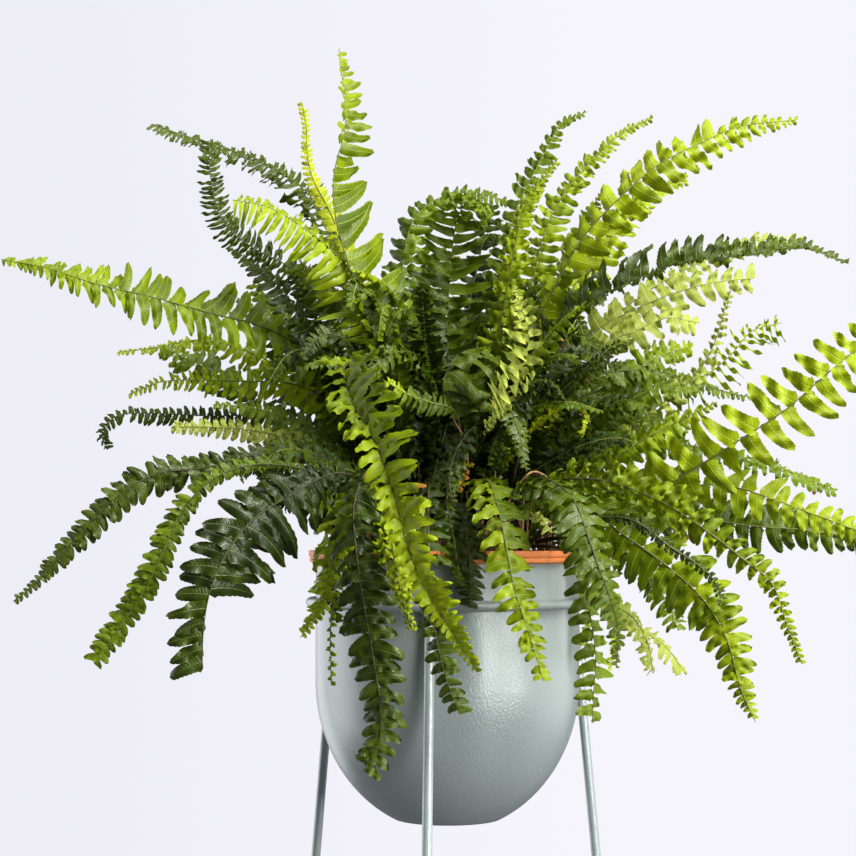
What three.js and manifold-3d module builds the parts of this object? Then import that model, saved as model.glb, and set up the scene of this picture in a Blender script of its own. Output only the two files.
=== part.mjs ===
// A Boston fern in a plastic nursery pot, hung in a steel bowl on three thin legs.
// Millimetres, +Z up. The floor is z = 0 and the front looks towards -Y. Every place below is measured
// from the pot's axis, and the whole plant is moved to the middle of its box at the end.
import * as THREE from 'three';
import { mergeVertices } from 'three/addons/utils/BufferGeometryUtils.js';
import Module from 'manifold-3d';

const wasm = await Module();
wasm.setup();

// Driving dimensions of the holder
const gap = 0.3;
const turnSegments = 32;
const bowl = { radius: 110, top: 450, wallFoot: 352.7, roundDepth: 125, baseRadius: 45, sheet: 1.5,
  roundSteps: 5 };
const stand = { rod: 8, ringHeight: 417, ringSides: 6, legTurns: [-97.4, 19, 147.3], splay: 0.096,
  legSides: 12 };
const pot = { wallTop: 106, baseRadius: 72, base: 272, wall: 2, drains: 4, drainRadius: 5, drainCircle: 48,
  drainSides: 8 };
const rim = { top: 460, radius: 116, bandInset: 0.8, bandHeight: 3.7, grooveInset: 2, grooveHeight: 0.5,
  lip: 3.5, throat: 5, shelf: 2 };
const soil = { top: 452, slope: 12, holeDepth: 12, holeRadius: 3.4, holeSides: 4, twinStep: 1.2 };
const crown = { radius: 64, step: 8.9, pull: 0.8, spare: 6 };

// Driving dimensions of a frond
const stem = { steps: 3, root: 1.2, tip: 0.5, rise: 8 };
const leaflet = { thickness: 0.8, sweep: 0.22, droop: 0.16, spread: 0.5, lastGap: 0.6, crowding: 0.55 };
const outline = { foot: 0.6, rise: 1.6, widest: 0.25, taper: 1.6 };
const bend = { step: 5, most: 14, roots: 5, perRoot: 14, clearance: 0.5, second: 0.55 };
const runner = { radius: 0.9, sides: 5, steps: 14, rise: 8 };
const rootFoot = soil.top - soil.holeDepth + gap;
const viewer = new THREE.Vector3(-16, -1500, 469);
const up = new THREE.Vector3(0, 0, 1);

const colours = {
  coat: '#a5b3b0', plastic: '#ec8a4a', soil: '#2b1f17', runner: '#8a6a48',
  bright: '#9ab52c', yellow: '#c2ca3c', green: '#5d8724', dark: '#30501a', glossy: '#41603c', pale: '#b2c069',
};

// Every frond: its node, the points of its stem from low to tip as [across, up, depth] seen from the
// viewer, the length of its longest leaflet, its turn about the stem at the first and last leaflet in
// degrees, its pairs of leaflets and its colour. bare is the share of the stem below the first pair.
const fronds = [
  frond('frond_left_01', [[-60, 560, -20], [-105, 618, -30], [-155, 648, -35], [-200, 660, -40],
    [-250, 674, -45], [-300, 686, -50], [-340, 699, -50], [-378, 706, -45]], 30, [-55, -60], 16, 'bright'),
  frond('frond_top_01', [[-35, 560, -40], [-62, 640, -60], [-80, 690, -70], [-95, 745, -75],
    [-96, 780, -75], [-88, 812, -75], [-86, 840, -70], [-90, 868, -65], [-92, 888, -60]],
  36, [-60, -60], 16, 'bright', { fold: 28 }),
  frond('frond_right_01', [[40, 570, -20], [85, 670, -40], [115, 724, -50], [145, 757, -55],
    [178, 786, -60], [212, 804, -60], [250, 820, -60], [298, 826, -60]], 27, [60, 65], 16, 'bright'),
  frond('frond_right_02', [[60, 520, -60], [120, 512, -100], [170, 508, -120], [210, 530, -130],
    [250, 555, -140], [285, 578, -145], [320, 608, -150], [352, 634, -150], [405, 672, -150]],
  36, [70, 75], 16, 'bright'),
  frond('frond_front_01', [[-20, 540, -50], [-60, 610, -90], [-86, 617, -130], [-80, 585, -170],
    [-62, 553, -200], [-46, 510, -220], [-35, 470, -230], [-20, 430, -235], [-3, 402, -235],
    [25, 358, -230]], 27, [0, 0], 18, 'bright'),
  frond('frond_left_02', [[-50, 500, -90], [-90, 525, -130], [-130, 507, -160], [-165, 484, -175],
    [-187, 455, -180], [-199, 425, -180], [-204, 395, -180], [-205, 360, -178]],
  33, [-70, -70], 13, 'glossy', { blunt: 0.6, bare: 0.36 }),
  frond('frond_right_03', [[58, 505, -70], [105, 505, -110], [145, 475, -145], [185, 446, -165],
    [215, 418, -175], [234, 385, -175], [245, 345, -175], [257, 317, -175]], 31, [60, 60], 16, 'green'),
  frond('frond_right_04', [[50, 560, -25], [85, 630, -45], [120, 668, -60], [158, 688, -75],
    [200, 704, -85], [250, 709, -85], [300, 716, -85], [341, 702, -85]],
  26, [25, 30], 16, 'dark', { fold: 28 }),
  frond('frond_left_03', [[-60, 510, -40], [-110, 540, -60], [-160, 540, -70], [-205, 529, -75],
    [-245, 524, -80], [-275, 507, -85], [-300, 482, -85], [-330, 450, -85], [-350, 428, -85],
    [-364, 417, -85]], 21, [-50, -60], 17, 'glossy'),
  frond('frond_left_04', [[-60, 500, -70], [-110, 525, -100], [-160, 532, -115], [-195, 521, -125],
    [-222, 495, -130], [-238, 460, -135], [-252, 430, -135], [-270, 402, -130], [-294, 368, -130]],
  22, [-60, -60], 16, 'green'),
  frond('frond_front_02', [[20, 500, -60], [32, 520, -110], [42, 498, -150], [50, 460, -170],
    [57, 425, -178], [68, 392, -180], [80, 352, -178]], 20, [0, 0], 13, 'bright'),
  frond('frond_front_03', [[-30, 500, -60], [-62, 530, -100], [-78, 500, -140], [-76, 455, -160],
    [-70, 415, -165], [-62, 370, -165], [-56, 330, -163], [-57, 300, -160], [-70, 276, -158]],
  22, [0, 0], 14, 'dark'),
  frond('frond_right_05', [[45, 500, -95], [80, 520, -150], [105, 504, -180], [118, 472, -190],
    [127, 445, -195], [137, 418, -195], [143, 392, -190], [141, 362, -185]], 26, [0, 0], 13, 'glossy'),
  frond('frond_back_01', [[5, 560, 20], [0, 640, 45], [3, 700, 50], [8, 738, 40], [18, 757, 10],
    [28, 752, -25], [33, 744, -50]], 40, [0, 0], 16, 'dark', { aim: -90 }),
  frond('frond_back_02', [[-20, 580, 60], [-38, 660, 85], [-37, 705, 105], [-28, 740, 115],
    [-8, 758, 120], [18, 763, 120], [45, 758, 120], [68, 748, 120]], 27, [40, 40], 13, 'dark'),
  frond('frond_left_05', [[-45, 560, 30], [-85, 690, 60], [-112, 755, 75], [-150, 786, 80],
    [-190, 802, 85], [-225, 813, 85], [-250, 822, 85]], 22, [-30, -30], 13, 'dark'),
  frond('frond_left_06', [[-50, 570, 10], [-90, 650, 20], [-130, 697, 30], [-165, 716, 35],
    [-190, 738, 35], [-200, 770, 35], [-203, 808, 35]], 19, [-75, -80], 13, 'dark'),
  frond('frond_left_07', [[-40, 560, -30], [-62, 645, -50], [-78, 690, -60], [-100, 716, -70],
    [-125, 735, -75], [-150, 750, -80], [-182, 757, -80]], 28, [-55, -55], 13, 'yellow', { droop: 0.4 }),
  frond('frond_top_02', [[-40, 570, 20], [-75, 690, 25], [-100, 748, 25], [-115, 778, 25],
    [-119, 800, 25], [-120, 822, 25], [-124, 842, 25]], 15, [-70, -70], 11, 'yellow'),
  frond('frond_top_03', [[25, 580, 30], [42, 660, 45], [50, 715, 50], [60, 752, 55], [75, 782, 55],
    [87, 805, 55], [98, 823, 55], [120, 833, 55]], 20, [60, 60], 14, 'green'),
  frond('frond_top_04', [[28, 580, 0], [45, 650, -5], [55, 705, -10], [64, 742, -10], [76, 766, -10],
    [95, 793, -10]], 15, [70, 70], 11, 'yellow'),
  frond('frond_right_06', [[30, 570, 60], [65, 660, 85], [85, 735, 95], [105, 770, 100],
    [130, 797, 100], [150, 815, 100], [176, 828, 100]], 22, [50, 50], 13, 'bright'),
  frond('frond_right_07', [[38, 560, 20], [85, 650, 40], [120, 700, 50], [148, 735, 55],
    [172, 762, 60], [205, 777, 60]], 25, [60, 60], 11, 'yellow'),
  frond('frond_right_08', [[40, 560, 90], [120, 640, 120], [180, 685, 130], [225, 708, 135],
    [262, 722, 135], [300, 722, 135]], 18, [60, 60], 11, 'pale'),
  frond('frond_right_08', [[60, 560, 60], [120, 640, 75], [160, 664, 80], [195, 678, 85],
    [225, 686, 85], [260, 690, 85]], 26, [70, 70], 11, 'pale'),
  frond('frond_right_10', [[60, 540, 30], [130, 580, 40], [180, 600, 45], [215, 606, 45],
    [240, 625, 45], [258, 645, 45], [283, 652, 45]], 26, [60, 60], 11, 'green', { droop: 0.4 }),
  frond('frond_right_11', [[60, 520, 0], [140, 560, 5], [190, 590, 5], [215, 615, 5], [228, 640, 5],
    [235, 665, 5], [243, 686, 5]], 17, [60, 60], 11, 'yellow'),
  frond('frond_right_12', [[60, 510, -50], [130, 512, -90], [190, 514, -110], [235, 514, -115],
    [262, 507, -120], [300, 493, -120], [343, 477, -120], [395, 455, -120]], 20, [60, 60], 14, 'yellow'),
  frond('frond_right_13', [[60, 500, -20], [130, 500, -40], [200, 490, -50], [250, 481, -55],
    [300, 477, -55], [343, 470, -55], [385, 455, -55]], 20, [60, 60], 14, 'green'),
  frond('frond_right_14', [[60, 520, 20], [120, 548, 30], [180, 552, 35], [235, 541, 40],
    [275, 531, 40], [305, 519, 40], [328, 511, 40]], 14, [50, 50], 13, 'dark'),
  frond('frond_right_15', [[60, 505, -80], [120, 520, -130], [175, 503, -150], [215, 478, -160],
    [250, 451, -165], [272, 432, -165], [284, 398, -165], [296, 366, -165]], 18, [60, 60], 13, 'bright'),
  frond('frond_right_16', [[60, 500, 40], [100, 480, 75], [135, 430, 95], [160, 396, 100],
    [182, 380, 100], [200, 356, 100]], 18, [60, 60], 10, 'pale'),
  frond('frond_right_17', [[50, 490, -60], [90, 500, -110], [110, 460, -135], [119, 410, -140],
    [124, 370, -140], [122, 340, -140], [121, 317, -138]], 14, [0, 0], 11, 'dark'),
  frond('frond_right_09', [[45, 530, -20], [95, 590, -30], [130, 585, -45], [160, 568, -55],
    [185, 550, -60]], 28, [40, 40], 10, 'dark'),
  frond('frond_right_14', [[50, 540, 10], [110, 600, 15], [160, 612, 20], [205, 604, 25],
    [235, 593, 25], [262, 588, 25]], 25, [50, 50], 11, 'dark'),
  frond('frond_left_08', [[-60, 545, 60], [-120, 600, 90], [-170, 628, 100], [-210, 637, 105],
    [-245, 631, 110], [-278, 627, 110]], 16, [-50, -50], 11, 'pale'),
  frond('frond_left_09', [[-50, 530, 10], [-90, 580, 0], [-130, 600, -5], [-170, 602, -5],
    [-205, 603, -5], [-240, 602, -5], [-267, 592, -5]], 20, [-70, -70], 14, 'bright'),
  frond('frond_left_10', [[-60, 520, 50], [-110, 565, 55], [-150, 573, 55], [-200, 573, 55],
    [-250, 575, 55], [-278, 573, 55], [-291, 560, 55], [-287, 545, 55]], 14, [-30, -30], 14, 'dark'),
  frond('frond_left_11', [[-60, 515, -15], [-110, 545, -15], [-150, 558, -15], [-190, 563, -15],
    [-232, 564, -15]], 14, [-60, -60], 10, 'yellow'),
  frond('frond_left_10', [[-60, 515, 25], [-97, 545, 5], [-125, 551, -15], [-143, 540, -30],
    [-150, 520, -36], [-158, 495, -38], [-162, 476, -38]], 18, [-60, -60], 9, 'dark'),
  frond('frond_front_04', [[-10, 500, -70], [-15, 515, -110], [-16, 470, -150], [-14, 420, -165],
    [-8, 380, -165], [0, 350, -163], [8, 328, -160]], 17, [0, 0], 11, 'dark'),
  frond('frond_front_05', [[-42, 490, -45], [-66, 515, -80], [-84, 500, -108], [-92, 475, -128],
    [-97, 450, -137], [-103, 425, -141], [-112, 405, -142], [-123, 387, -142]], 22, [0, 0], 11, 'green'),
  frond('frond_front_05', [[-42, 492, -50], [-74, 517, -115], [-91, 480, -152], [-95, 430, -164],
    [-98, 390, -164], [-97, 348, -162]], 8, [0, 0], 9, 'bright'),
  frond('frond_front_06', [[-25, 490, -100], [-40, 500, -150], [-46, 470, -190], [-42, 440, -200],
    [-36, 415, -203], [-30, 395, -203]], 13, [0, 0], 9, 'yellow'),
  frond('frond_front_07', [[0, 490, -60], [8, 500, -95], [15, 475, -115], [19, 445, -122],
    [19, 413, -122]], 13, [0, 0], 9, 'dark'),
  frond('frond_front_08', [[34, 476, -66], [52, 488, -90], [66, 494, -104], [78, 488, -112],
    [86, 476, -116]], 7, [0, 0], 6, 'yellow'),
  frond('frond_front_09', [[10, 540, -10], [30, 600, -40], [28, 628, -75], [8, 623, -105],
    [-3, 600, -120], [3, 575, -125], [15, 552, -125], [18, 530, -122]],
  24, [-40, -40], 9, 'glossy', { end: 0.72 }),
  frond('frond_front_10', [[-20, 560, -20], [-15, 610, -50], [-32, 627, -80], [-52, 622, -105],
    [-68, 606, -120], [-82, 590, -125]], 20, [-30, -30], 10, 'dark'),
  frond('frond_front_11', [[25, 540, -75], [50, 590, -120], [64, 615, -140], [69, 640, -148],
    [64, 662, -148], [57, 682, -145]], 24, [0, 0], 9, 'yellow', { droop: 0.4 }),
  frond('frond_front_12', [[40, 520, -40], [75, 565, -70], [100, 584, -85], [118, 575, -92],
    [114, 556, -95]], 14, [0, 0], 7, 'yellow'),
  frond('frond_front_07', [[10, 530, -20], [20, 585, -50], [45, 590, -90], [60, 560, -120],
    [66, 530, -135]], 22, [0, 0], 9, 'dark'),
  frond('frond_back_03', [[-20, 560, 60], [-40, 650, 130], [-60, 660, 200], [-75, 600, 260],
    [-80, 520, 290]], 28, [0, 0], 13, 'green'),
  frond('frond_back_04', [[15, 570, 70], [30, 670, 140], [45, 690, 210], [55, 640, 270],
    [60, 560, 310]], 30, [0, 0], 13, 'dark'),
  frond('frond_back_05', [[-45, 540, 60], [-90, 610, 120], [-125, 600, 180], [-150, 540, 220],
    [-160, 480, 235]], 26, [0, 0], 13, 'dark'),
  frond('frond_back_06', [[50, 540, 60], [110, 610, 120], [150, 600, 180], [175, 545, 225],
    [185, 480, 245]], 28, [0, 0], 13, 'bright'),
  frond('frond_back_07', [[-5, 520, 90], [-10, 580, 160], [-20, 570, 230], [-25, 500, 280],
    [-28, 430, 300]], 26, [0, 0], 13, 'green'),
  frond('frond_back_08', [[40, 510, 70], [75, 550, 130], [98, 520, 180], [104, 450, 205],
    [98, 380, 210]], 22, [0, 0], 11, 'yellow'),
  frond('frond_back_05', [[-40, 510, 70], [-68, 555, 140], [-76, 520, 200], [-76, 450, 230],
    [-72, 385, 235]], 22, [0, 0], 11, 'dark'),
];

function frond(node, points, reach, roll, pairs, colour, options = {}) {
  return { node, points, reach, roll, pairs, colour, bare: 0.3, end: 1, fold: -6, blunt: 0.1,
    droop: leaflet.droop, aim: null, ...options };
}

// A point given as it is seen from the viewer, moved back or forward on its line of sight.
function place([across, up, depth]) {
  const seen = new THREE.Vector3(across, 0, up).sub(viewer);
  return seen.multiplyScalar(1 + depth / -viewer.y).add(viewer);
}

function material(colour, roughness, metalness = 0) {
  return new THREE.MeshStandardMaterial({ color: colour, roughness, metalness });
}

// Shared vertices merged and collapsed triangles dropped, so that the surface is closed.
function closed(geometry) {
  for (const name of ['normal', 'uv']) geometry.deleteAttribute(name);
  const merged = mergeVertices(geometry, 1e-3);
  const index = merged.index.array;
  const kept = [];
  for (let i = 0; i < index.length; i += 3) {
    const [a, b, c] = index.slice(i, i + 3);
    if (a !== b && b !== c && c !== a) kept.push(a, b, c);
  }
  merged.setIndex(kept);
  return merged;
}

function toSolid(geometry) {
  const surface = closed(geometry);
  return new wasm.Manifold(new wasm.Mesh({
    numProp: 3,
    vertProperties: new Float32Array(surface.attributes.position.array),
    triVerts: new Uint32Array(surface.index.array),
  }));
}

function toGeometry(solid) {
  const { vertProperties, triVerts } = solid.getMesh();
  const geometry = new THREE.BufferGeometry();
  geometry.setAttribute('position', new THREE.BufferAttribute(vertProperties, 3));
  geometry.setIndex(new THREE.BufferAttribute(triVerts, 1));
  geometry.computeVertexNormals();
  return geometry;
}

function turned(profile) {
  const points = profile.map(([radius, height]) => new THREE.Vector2(radius, height));
  return new THREE.LatheGeometry(points, turnSegments).rotateX(Math.PI / 2);
}

function drum(radius, from, to, sides, x, y) {
  const geometry = new THREE.CylinderGeometry(radius, radius, to - from, sides).rotateX(Math.PI / 2);
  return toSolid(geometry.translate(x, y, (from + to) / 2));
}

// The steel bowl: a straight wall above, a quarter of an ellipse below and a flat base.
function bowlSurface() {
  const wallLine = (inset) => {
    const last = Math.acos(bowl.baseRadius / bowl.radius);
    const line = [];
    for (let i = 0; i <= bowl.roundSteps; i++) {
      const angle = last * (1 - i / bowl.roundSteps);
      const across = (bowl.radius - inset) * Math.cos(angle);
      line.push([across, bowl.wallFoot - (bowl.roundDepth - inset) * Math.sin(angle)]);
    }
    return [...line, [bowl.radius - inset, bowl.top]];
  };
  const outer = wallLine(0);
  const inner = wallLine(bowl.sheet).reverse();
  return turned([[0, outer[0][1]], ...outer, ...inner, [0, inner[inner.length - 1][1]]]);
}

// The rod ring that holds the bowl, and one leg under it, leaning outwards and cut level at both ends.
const ringRadius = bowl.radius + gap + stand.rod / 2;

function ringSurface() {
  return new THREE.TorusGeometry(ringRadius, stand.rod / 2, stand.ringSides, turnSegments)
    .translate(0, 0, stand.ringHeight);
}

function legSurface() {
  const top = stand.ringHeight - Math.cos(Math.PI / stand.ringSides) * stand.rod / 2 - gap;
  const leg = new THREE.CylinderGeometry(stand.rod / 2, stand.rod / 2, top, stand.legSides);
  leg.rotateX(Math.PI / 2).translate(0, 0, -top / 2);
  leg.applyMatrix4(new THREE.Matrix4().makeShear(0, 0, 0, 0, -stand.splay, 0));
  return leg.translate(ringRadius, 0, top);
}

// The nursery pot: a stepped rim that hangs on the bowl's edge, a tapered wall and a drained floor.
const seat = bowl.top + gap;

function potSolid() {
  const { wallTop, baseRadius, base, wall, drains, drainRadius, drainCircle, drainSides } = pot;
  const groove = seat + rim.bandHeight + rim.grooveHeight;
  const profile = [[0, base], [baseRadius, base], [wallTop, seat], [rim.radius - rim.bandInset, seat],
    [rim.radius - rim.bandInset, seat + rim.bandHeight], [rim.radius - rim.grooveInset, groove],
    [rim.radius, groove + rim.grooveHeight], [rim.radius, rim.top], [rim.radius - rim.lip, rim.top],
    [rim.radius - rim.throat, seat + 2 * rim.shelf], [wallTop - wall, seat + rim.shelf],
    [baseRadius - wall, base + wall], [0, base + wall]];
  let solid = toSolid(turned(profile));
  for (let i = 0; i < drains; i++) {
    const angle = 2 * Math.PI * (i + 0.5) / drains;
    const [x, y] = [drainCircle * Math.cos(angle), drainCircle * Math.sin(angle)];
    solid = solid.subtract(drum(drainRadius, base - wall, base + 2 * wall, drainSides, x, y));
  }
  return solid;
}

// The soil fills the pot to just under its rim, with one plain hole for each root.
function soilSolid(holes) {
  const floor = pot.base + pot.wall + gap;
  const inside = pot.wallTop - pot.wall - 2 * gap;
  const profile = [[0, floor], [pot.baseRadius - pot.wall - gap, floor], [inside, soil.top - 1],
    [inside - soil.slope, soil.top], [0, soil.top]];
  return holes.reduce((solid, hole) => solid.subtract(hole), toSolid(turned(profile)));
}

function rootHole({ x, y }, shared) {
  const radius = soil.holeRadius + (shared ? soil.twinStep : 0);
  return drum(radius, soil.top - soil.holeDepth, soil.top + pot.wall, soil.holeSides, x, y);
}

// Roots stand on a sunflower spiral, each frond in the free place nearest to where it leans.
function rootPlaces(count) {
  const turn = Math.PI * (3 - Math.sqrt(5));
  return Array.from({ length: count }, (_, i) => {
    const radius = crown.step * Math.sqrt(i + 0.5);
    return { x: radius * Math.cos(i * turn), y: radius * Math.sin(i * turn) };
  });
}

// The free places nearest to where a frond leans.
function nearestRoots(free, lean) {
  const pull = crown.pull * Math.min(1, crown.radius / Math.hypot(lean.x, lean.y));
  const distance = (spot) => Math.hypot(spot.x - lean.x * pull, spot.y - lean.y * pull);
  return [...free].sort((a, b) => distance(a) - distance(b)).slice(0, bend.roots);
}

// The stem's curve, bent back or forward by the given depth above its lowest stretch.
function stemCurve(frond, root, shift) {
  const points = [new THREE.Vector3(root.x, root.y, rootFoot),
    new THREE.Vector3(root.x, root.y, soil.top + stem.rise)];
  frond.points.forEach(([across, up, depth], i) => {
    points.push(place([across, up, depth + shift * (i === 0 ? bend.second : 1)]));
  });
  return new THREE.CatmullRomCurve3(points, false, 'centripetal');
}

// Stations along the stem, each with its tangent, the way to its left leaflet and its upper side.
function stations(frond, curve) {
  const foot = (soil.top + stem.rise - rootFoot) / curve.getLength();
  const rows = [{ at: 0, leafy: false }];
  for (let i = 0; i < stem.steps; i++) {
    rows.push({ at: THREE.MathUtils.lerp(foot, frond.bare, i / stem.steps), leafy: false });
  }
  for (let i = 0; i <= frond.pairs; i++) {
    const at = frond.bare + (frond.end - frond.bare) * i / (frond.pairs + leaflet.lastGap);
    rows.push({ at, leafy: i < frond.pairs });
  }
  const heading = curve.getPoint(1).sub(curve.getPoint(0)).setZ(0).normalize();
  if (frond.aim !== null) heading.set(1, 0, 0).applyAxisAngle(up, THREE.MathUtils.degToRad(frond.aim));
  let left = up.clone().cross(heading);
  for (const row of rows) {
    row.point = curve.getPointAt(row.at);
    row.tangent = curve.getTangentAt(row.at);
    left = left.clone().addScaledVector(row.tangent, -left.dot(row.tangent)).normalize();
    row.along = Math.max(0, (row.at - frond.bare) / (1 - frond.bare));
    const roll = THREE.MathUtils.degToRad(THREE.MathUtils.lerp(...frond.roll, row.along));
    row.left = left.clone().applyAxisAngle(row.tangent, roll);
    row.up = row.tangent.clone().cross(row.left);
    row.half = THREE.MathUtils.lerp(stem.root, stem.tip, row.at);
  }
  return rows;
}

// Leaflets are short at the foot of the blade, longest at a third of it, and short again at its tip.
function reachAt(frond, along) {
  const foot = Math.min(1, outline.foot + along * outline.rise);
  const past = Math.max(0, along - outline.widest) / (1 - outline.widest);
  const taper = 1 - (1 - frond.blunt) * Math.pow(past, outline.taper);
  return frond.reach * foot * taper;
}

// One thin arched sheet: the stem's strip with a leaflet cut to the rib on each side of every pair.
function frondSheet(frond, curve) {
  const rows = stations(frond, curve);
  const fold = THREE.MathUtils.degToRad(frond.fold);
  const sheet = { points: [], lifts: [], triangles: [] };
  const add = (point, lift) => {
    sheet.points.push(point);
    sheet.lifts.push(lift);
    return sheet.points.length - 1;
  };
  for (const row of rows) {
    row.edges = [1, -1].map((side) => add(row.point.clone().addScaledVector(row.left, side * row.half),
      row.up.clone().multiplyScalar(row.half)));
  }
  for (let i = 0; i + 1 < rows.length; i++) {
    const [row, next] = [rows[i], rows[i + 1]];
    const [leftEdge, rightEdge] = row.edges;
    const [nextLeft, nextRight] = next.edges;
    sheet.triangles.push([leftEdge, rightEdge, nextRight], [leftEdge, nextRight, nextLeft]);
    if (!row.leafy) continue;
    const pitch = row.point.distanceTo(next.point);
    const turn = next.tangent.clone().sub(row.tangent).divideScalar(pitch);
    for (const side of [1, -1]) {
      const out = row.left.clone().multiplyScalar(side * Math.cos(fold));
      out.addScaledVector(row.up, Math.sin(fold));
      const lift = row.up.clone().multiplyScalar(Math.cos(fold));
      lift.addScaledVector(row.left, -side * Math.sin(fold));
      const inward = Math.max(1e-6, turn.dot(out));
      const reach = Math.min(reachAt(frond, row.along), leaflet.crowding / inward);
      const tip = add(row.point.clone().addScaledVector(out, reach)
        .addScaledVector(row.tangent, pitch * leaflet.spread + reach * leaflet.sweep)
        .addScaledVector(lift, -reach * frond.droop), lift.clone().multiplyScalar(leaflet.thickness / 2));
      sheet.triangles.push(side > 0 ? [leftEdge, nextLeft, tip] : [rightEdge, tip, nextRight]);
    }
  }
  const last = rows[rows.length - 1];
  const tip = add(curve.getPointAt(1), last.up.clone().multiplyScalar(leaflet.thickness / 2));
  sheet.triangles.push([last.edges[0], last.edges[1], tip]);
  return sheet;
}

// The sheet given its thickness: the same triangles above and below, and a wall round every open edge.
function thicken({ points, lifts, triangles }, extra) {
  const vertices = [];
  for (const side of [1, -1]) {
    points.forEach((point, i) => {
      const lift = lifts[i].clone().setLength(lifts[i].length() + extra);
      vertices.push(...point.clone().addScaledVector(lift, side).toArray());
    });
  }
  const below = points.length;
  const open = new Map();
  const index = [];
  for (const [a, b, c] of triangles) {
    index.push(a, b, c, c + below, b + below, a + below);
    for (const [from, to] of [[a, b], [b, c], [c, a]]) {
      if (!open.delete(`${to},${from}`)) open.set(`${from},${to}`, [from, to]);
    }
  }
  for (const [from, to] of open.values()) {
    index.push(from, to + below, to, from, from + below, to + below);
  }
  const geometry = new THREE.BufferGeometry();
  geometry.setAttribute('position', new THREE.Float32BufferAttribute(vertices, 3));
  geometry.setIndex(index);
  return toSolid(geometry);
}

// A frond takes the nearest root and the smallest bend back or forward that keep it clear of the rest.
function settle(frond, roots, others) {
  const tries = roots.flatMap((root, rank) => Array.from({ length: 2 * bend.most + 1 }, (_, i) => {
    const shift = bend.step * (i - bend.most);
    return { root, shift, cost: Math.abs(shift) + rank * bend.perRoot };
  })).sort((a, b) => a.cost - b.cost);
  let best = null;
  for (const { root, shift } of tries) {
    const sheet = frondSheet(frond, stemCurve(frond, root, shift));
    const tested = thicken(sheet, bend.clearance);
    const overlap = [...others, soilSolid([root.hole])]
      .reduce((sum, other) => sum + tested.intersect(other).volume(), 0);
    if (!best || overlap < best.overlap) best = { sheet, overlap, shift, root };
    if (overlap === 0) break;
  }
  return { ...best, solid: thicken(best.sheet, 0) };
}

// A thin runner arches from one root to another.
const runnerEnds = [{ x: 34, y: -84 }, { x: 90, y: -40 }];

function runnerSurface() {
  const heights = [rootFoot, soil.top + runner.rise];
  const [start, end] = runnerEnds.map(({ x, y }) => heights.map((height) => [x, y, height]));
  const route = [...start, [48, -92, 500], [66, -94, 522], [82, -84, 514], [90, -60, 484], ...end.reverse()];
  const points = route.map((point) => new THREE.Vector3(...point));
  const curve = new THREE.CatmullRomCurve3(points, false, 'centripetal');
  const section = new THREE.Shape().absarc(0, 0, runner.radius, 0, 2 * Math.PI);
  return new THREE.ExtrudeGeometry(section, { steps: runner.steps, curveSegments: runner.sides,
    bevelEnabled: false, extrudePath: curve });
}

const group = new THREE.Group();
const placed = [];

// Each piece becomes one named mesh, and the fronds placed after it keep clear of it.
function addPiece(name, solid, look) {
  const mesh = new THREE.Mesh(toGeometry(solid), look);
  mesh.name = name;
  group.add(mesh);
  placed.push(solid);
}

const coat = material(colours.coat, 0.45, 0.3);
addPiece('planter_bowl', toSolid(bowlSurface()), coat);
addPiece('stand_ring', toSolid(ringSurface()), coat);
stand.legTurns.forEach((turn, i) => {
  const azimuth = THREE.MathUtils.degToRad(turn);
  addPiece(`stand_leg_${i + 1}`, toSolid(legSurface().rotateZ(azimuth)), coat);
});
addPiece('nursery_pot', potSolid(), material(colours.plastic, 0.5));
addPiece('runner', toSolid(runnerSurface()), material(colours.runner, 0.8));

// The fronds of a node share one hole, so that they hold together.
const names = [...new Set(fronds.map(({ node }) => node))];
const free = rootPlaces(names.length + crown.spare);
const holes = runnerEnds.map((end) => rootHole(end, false));
for (const name of names) {
  const together = fronds.filter(({ node }) => node === name);
  const shared = together.length > 1;
  const near = nearestRoots(free, place(together[0].points[1])).map((root) => ({ ...root,
    hole: rootHole(root, shared) }));
  const first = settle(together[0], near, placed);
  let { root, solid } = first;
  for (const twin of together.slice(1)) {
    solid = solid.add(settle(twin, [{ ...root, x: root.x + soil.twinStep }], placed).solid);
  }
  free.splice(free.findIndex(({ x, y }) => x === root.x && y === root.y), 1);
  holes.push(root.hole);
  addPiece(name, solid, material(colours[together[0].colour], 0.5));
}
addPiece('soil', soilSolid(holes), material(colours.soil, 0.95));

// The origin is on the floor, under the middle of the whole plant.
const middle = new THREE.Box3().setFromObject(group).getCenter(new THREE.Vector3());
group.position.set(-middle.x, -middle.y, 0);

export default group;
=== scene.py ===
import math
import bpy
import numpy as np
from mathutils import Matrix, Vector, kdtree, noise


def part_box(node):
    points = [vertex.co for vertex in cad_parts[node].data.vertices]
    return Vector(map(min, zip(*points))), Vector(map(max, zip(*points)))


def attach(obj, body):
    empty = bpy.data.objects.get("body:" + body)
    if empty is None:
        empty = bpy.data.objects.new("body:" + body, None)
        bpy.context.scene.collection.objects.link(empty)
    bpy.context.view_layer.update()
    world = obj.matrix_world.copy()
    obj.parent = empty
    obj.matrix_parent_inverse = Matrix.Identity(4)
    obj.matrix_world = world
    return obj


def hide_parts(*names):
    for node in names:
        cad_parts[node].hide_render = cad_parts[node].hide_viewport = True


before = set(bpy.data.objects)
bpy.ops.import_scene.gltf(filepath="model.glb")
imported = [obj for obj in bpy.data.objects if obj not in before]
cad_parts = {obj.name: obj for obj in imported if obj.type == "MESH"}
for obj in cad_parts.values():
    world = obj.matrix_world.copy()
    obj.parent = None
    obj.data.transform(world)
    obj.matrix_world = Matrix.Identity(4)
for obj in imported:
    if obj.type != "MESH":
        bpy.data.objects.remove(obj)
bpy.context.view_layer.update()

# Places and sizes are in millimetres from the pot's axis and the floor, and become metres in newObject
mm = 0.001
pin = 0.01  # the radius that closes a turned shape at its middle
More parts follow.
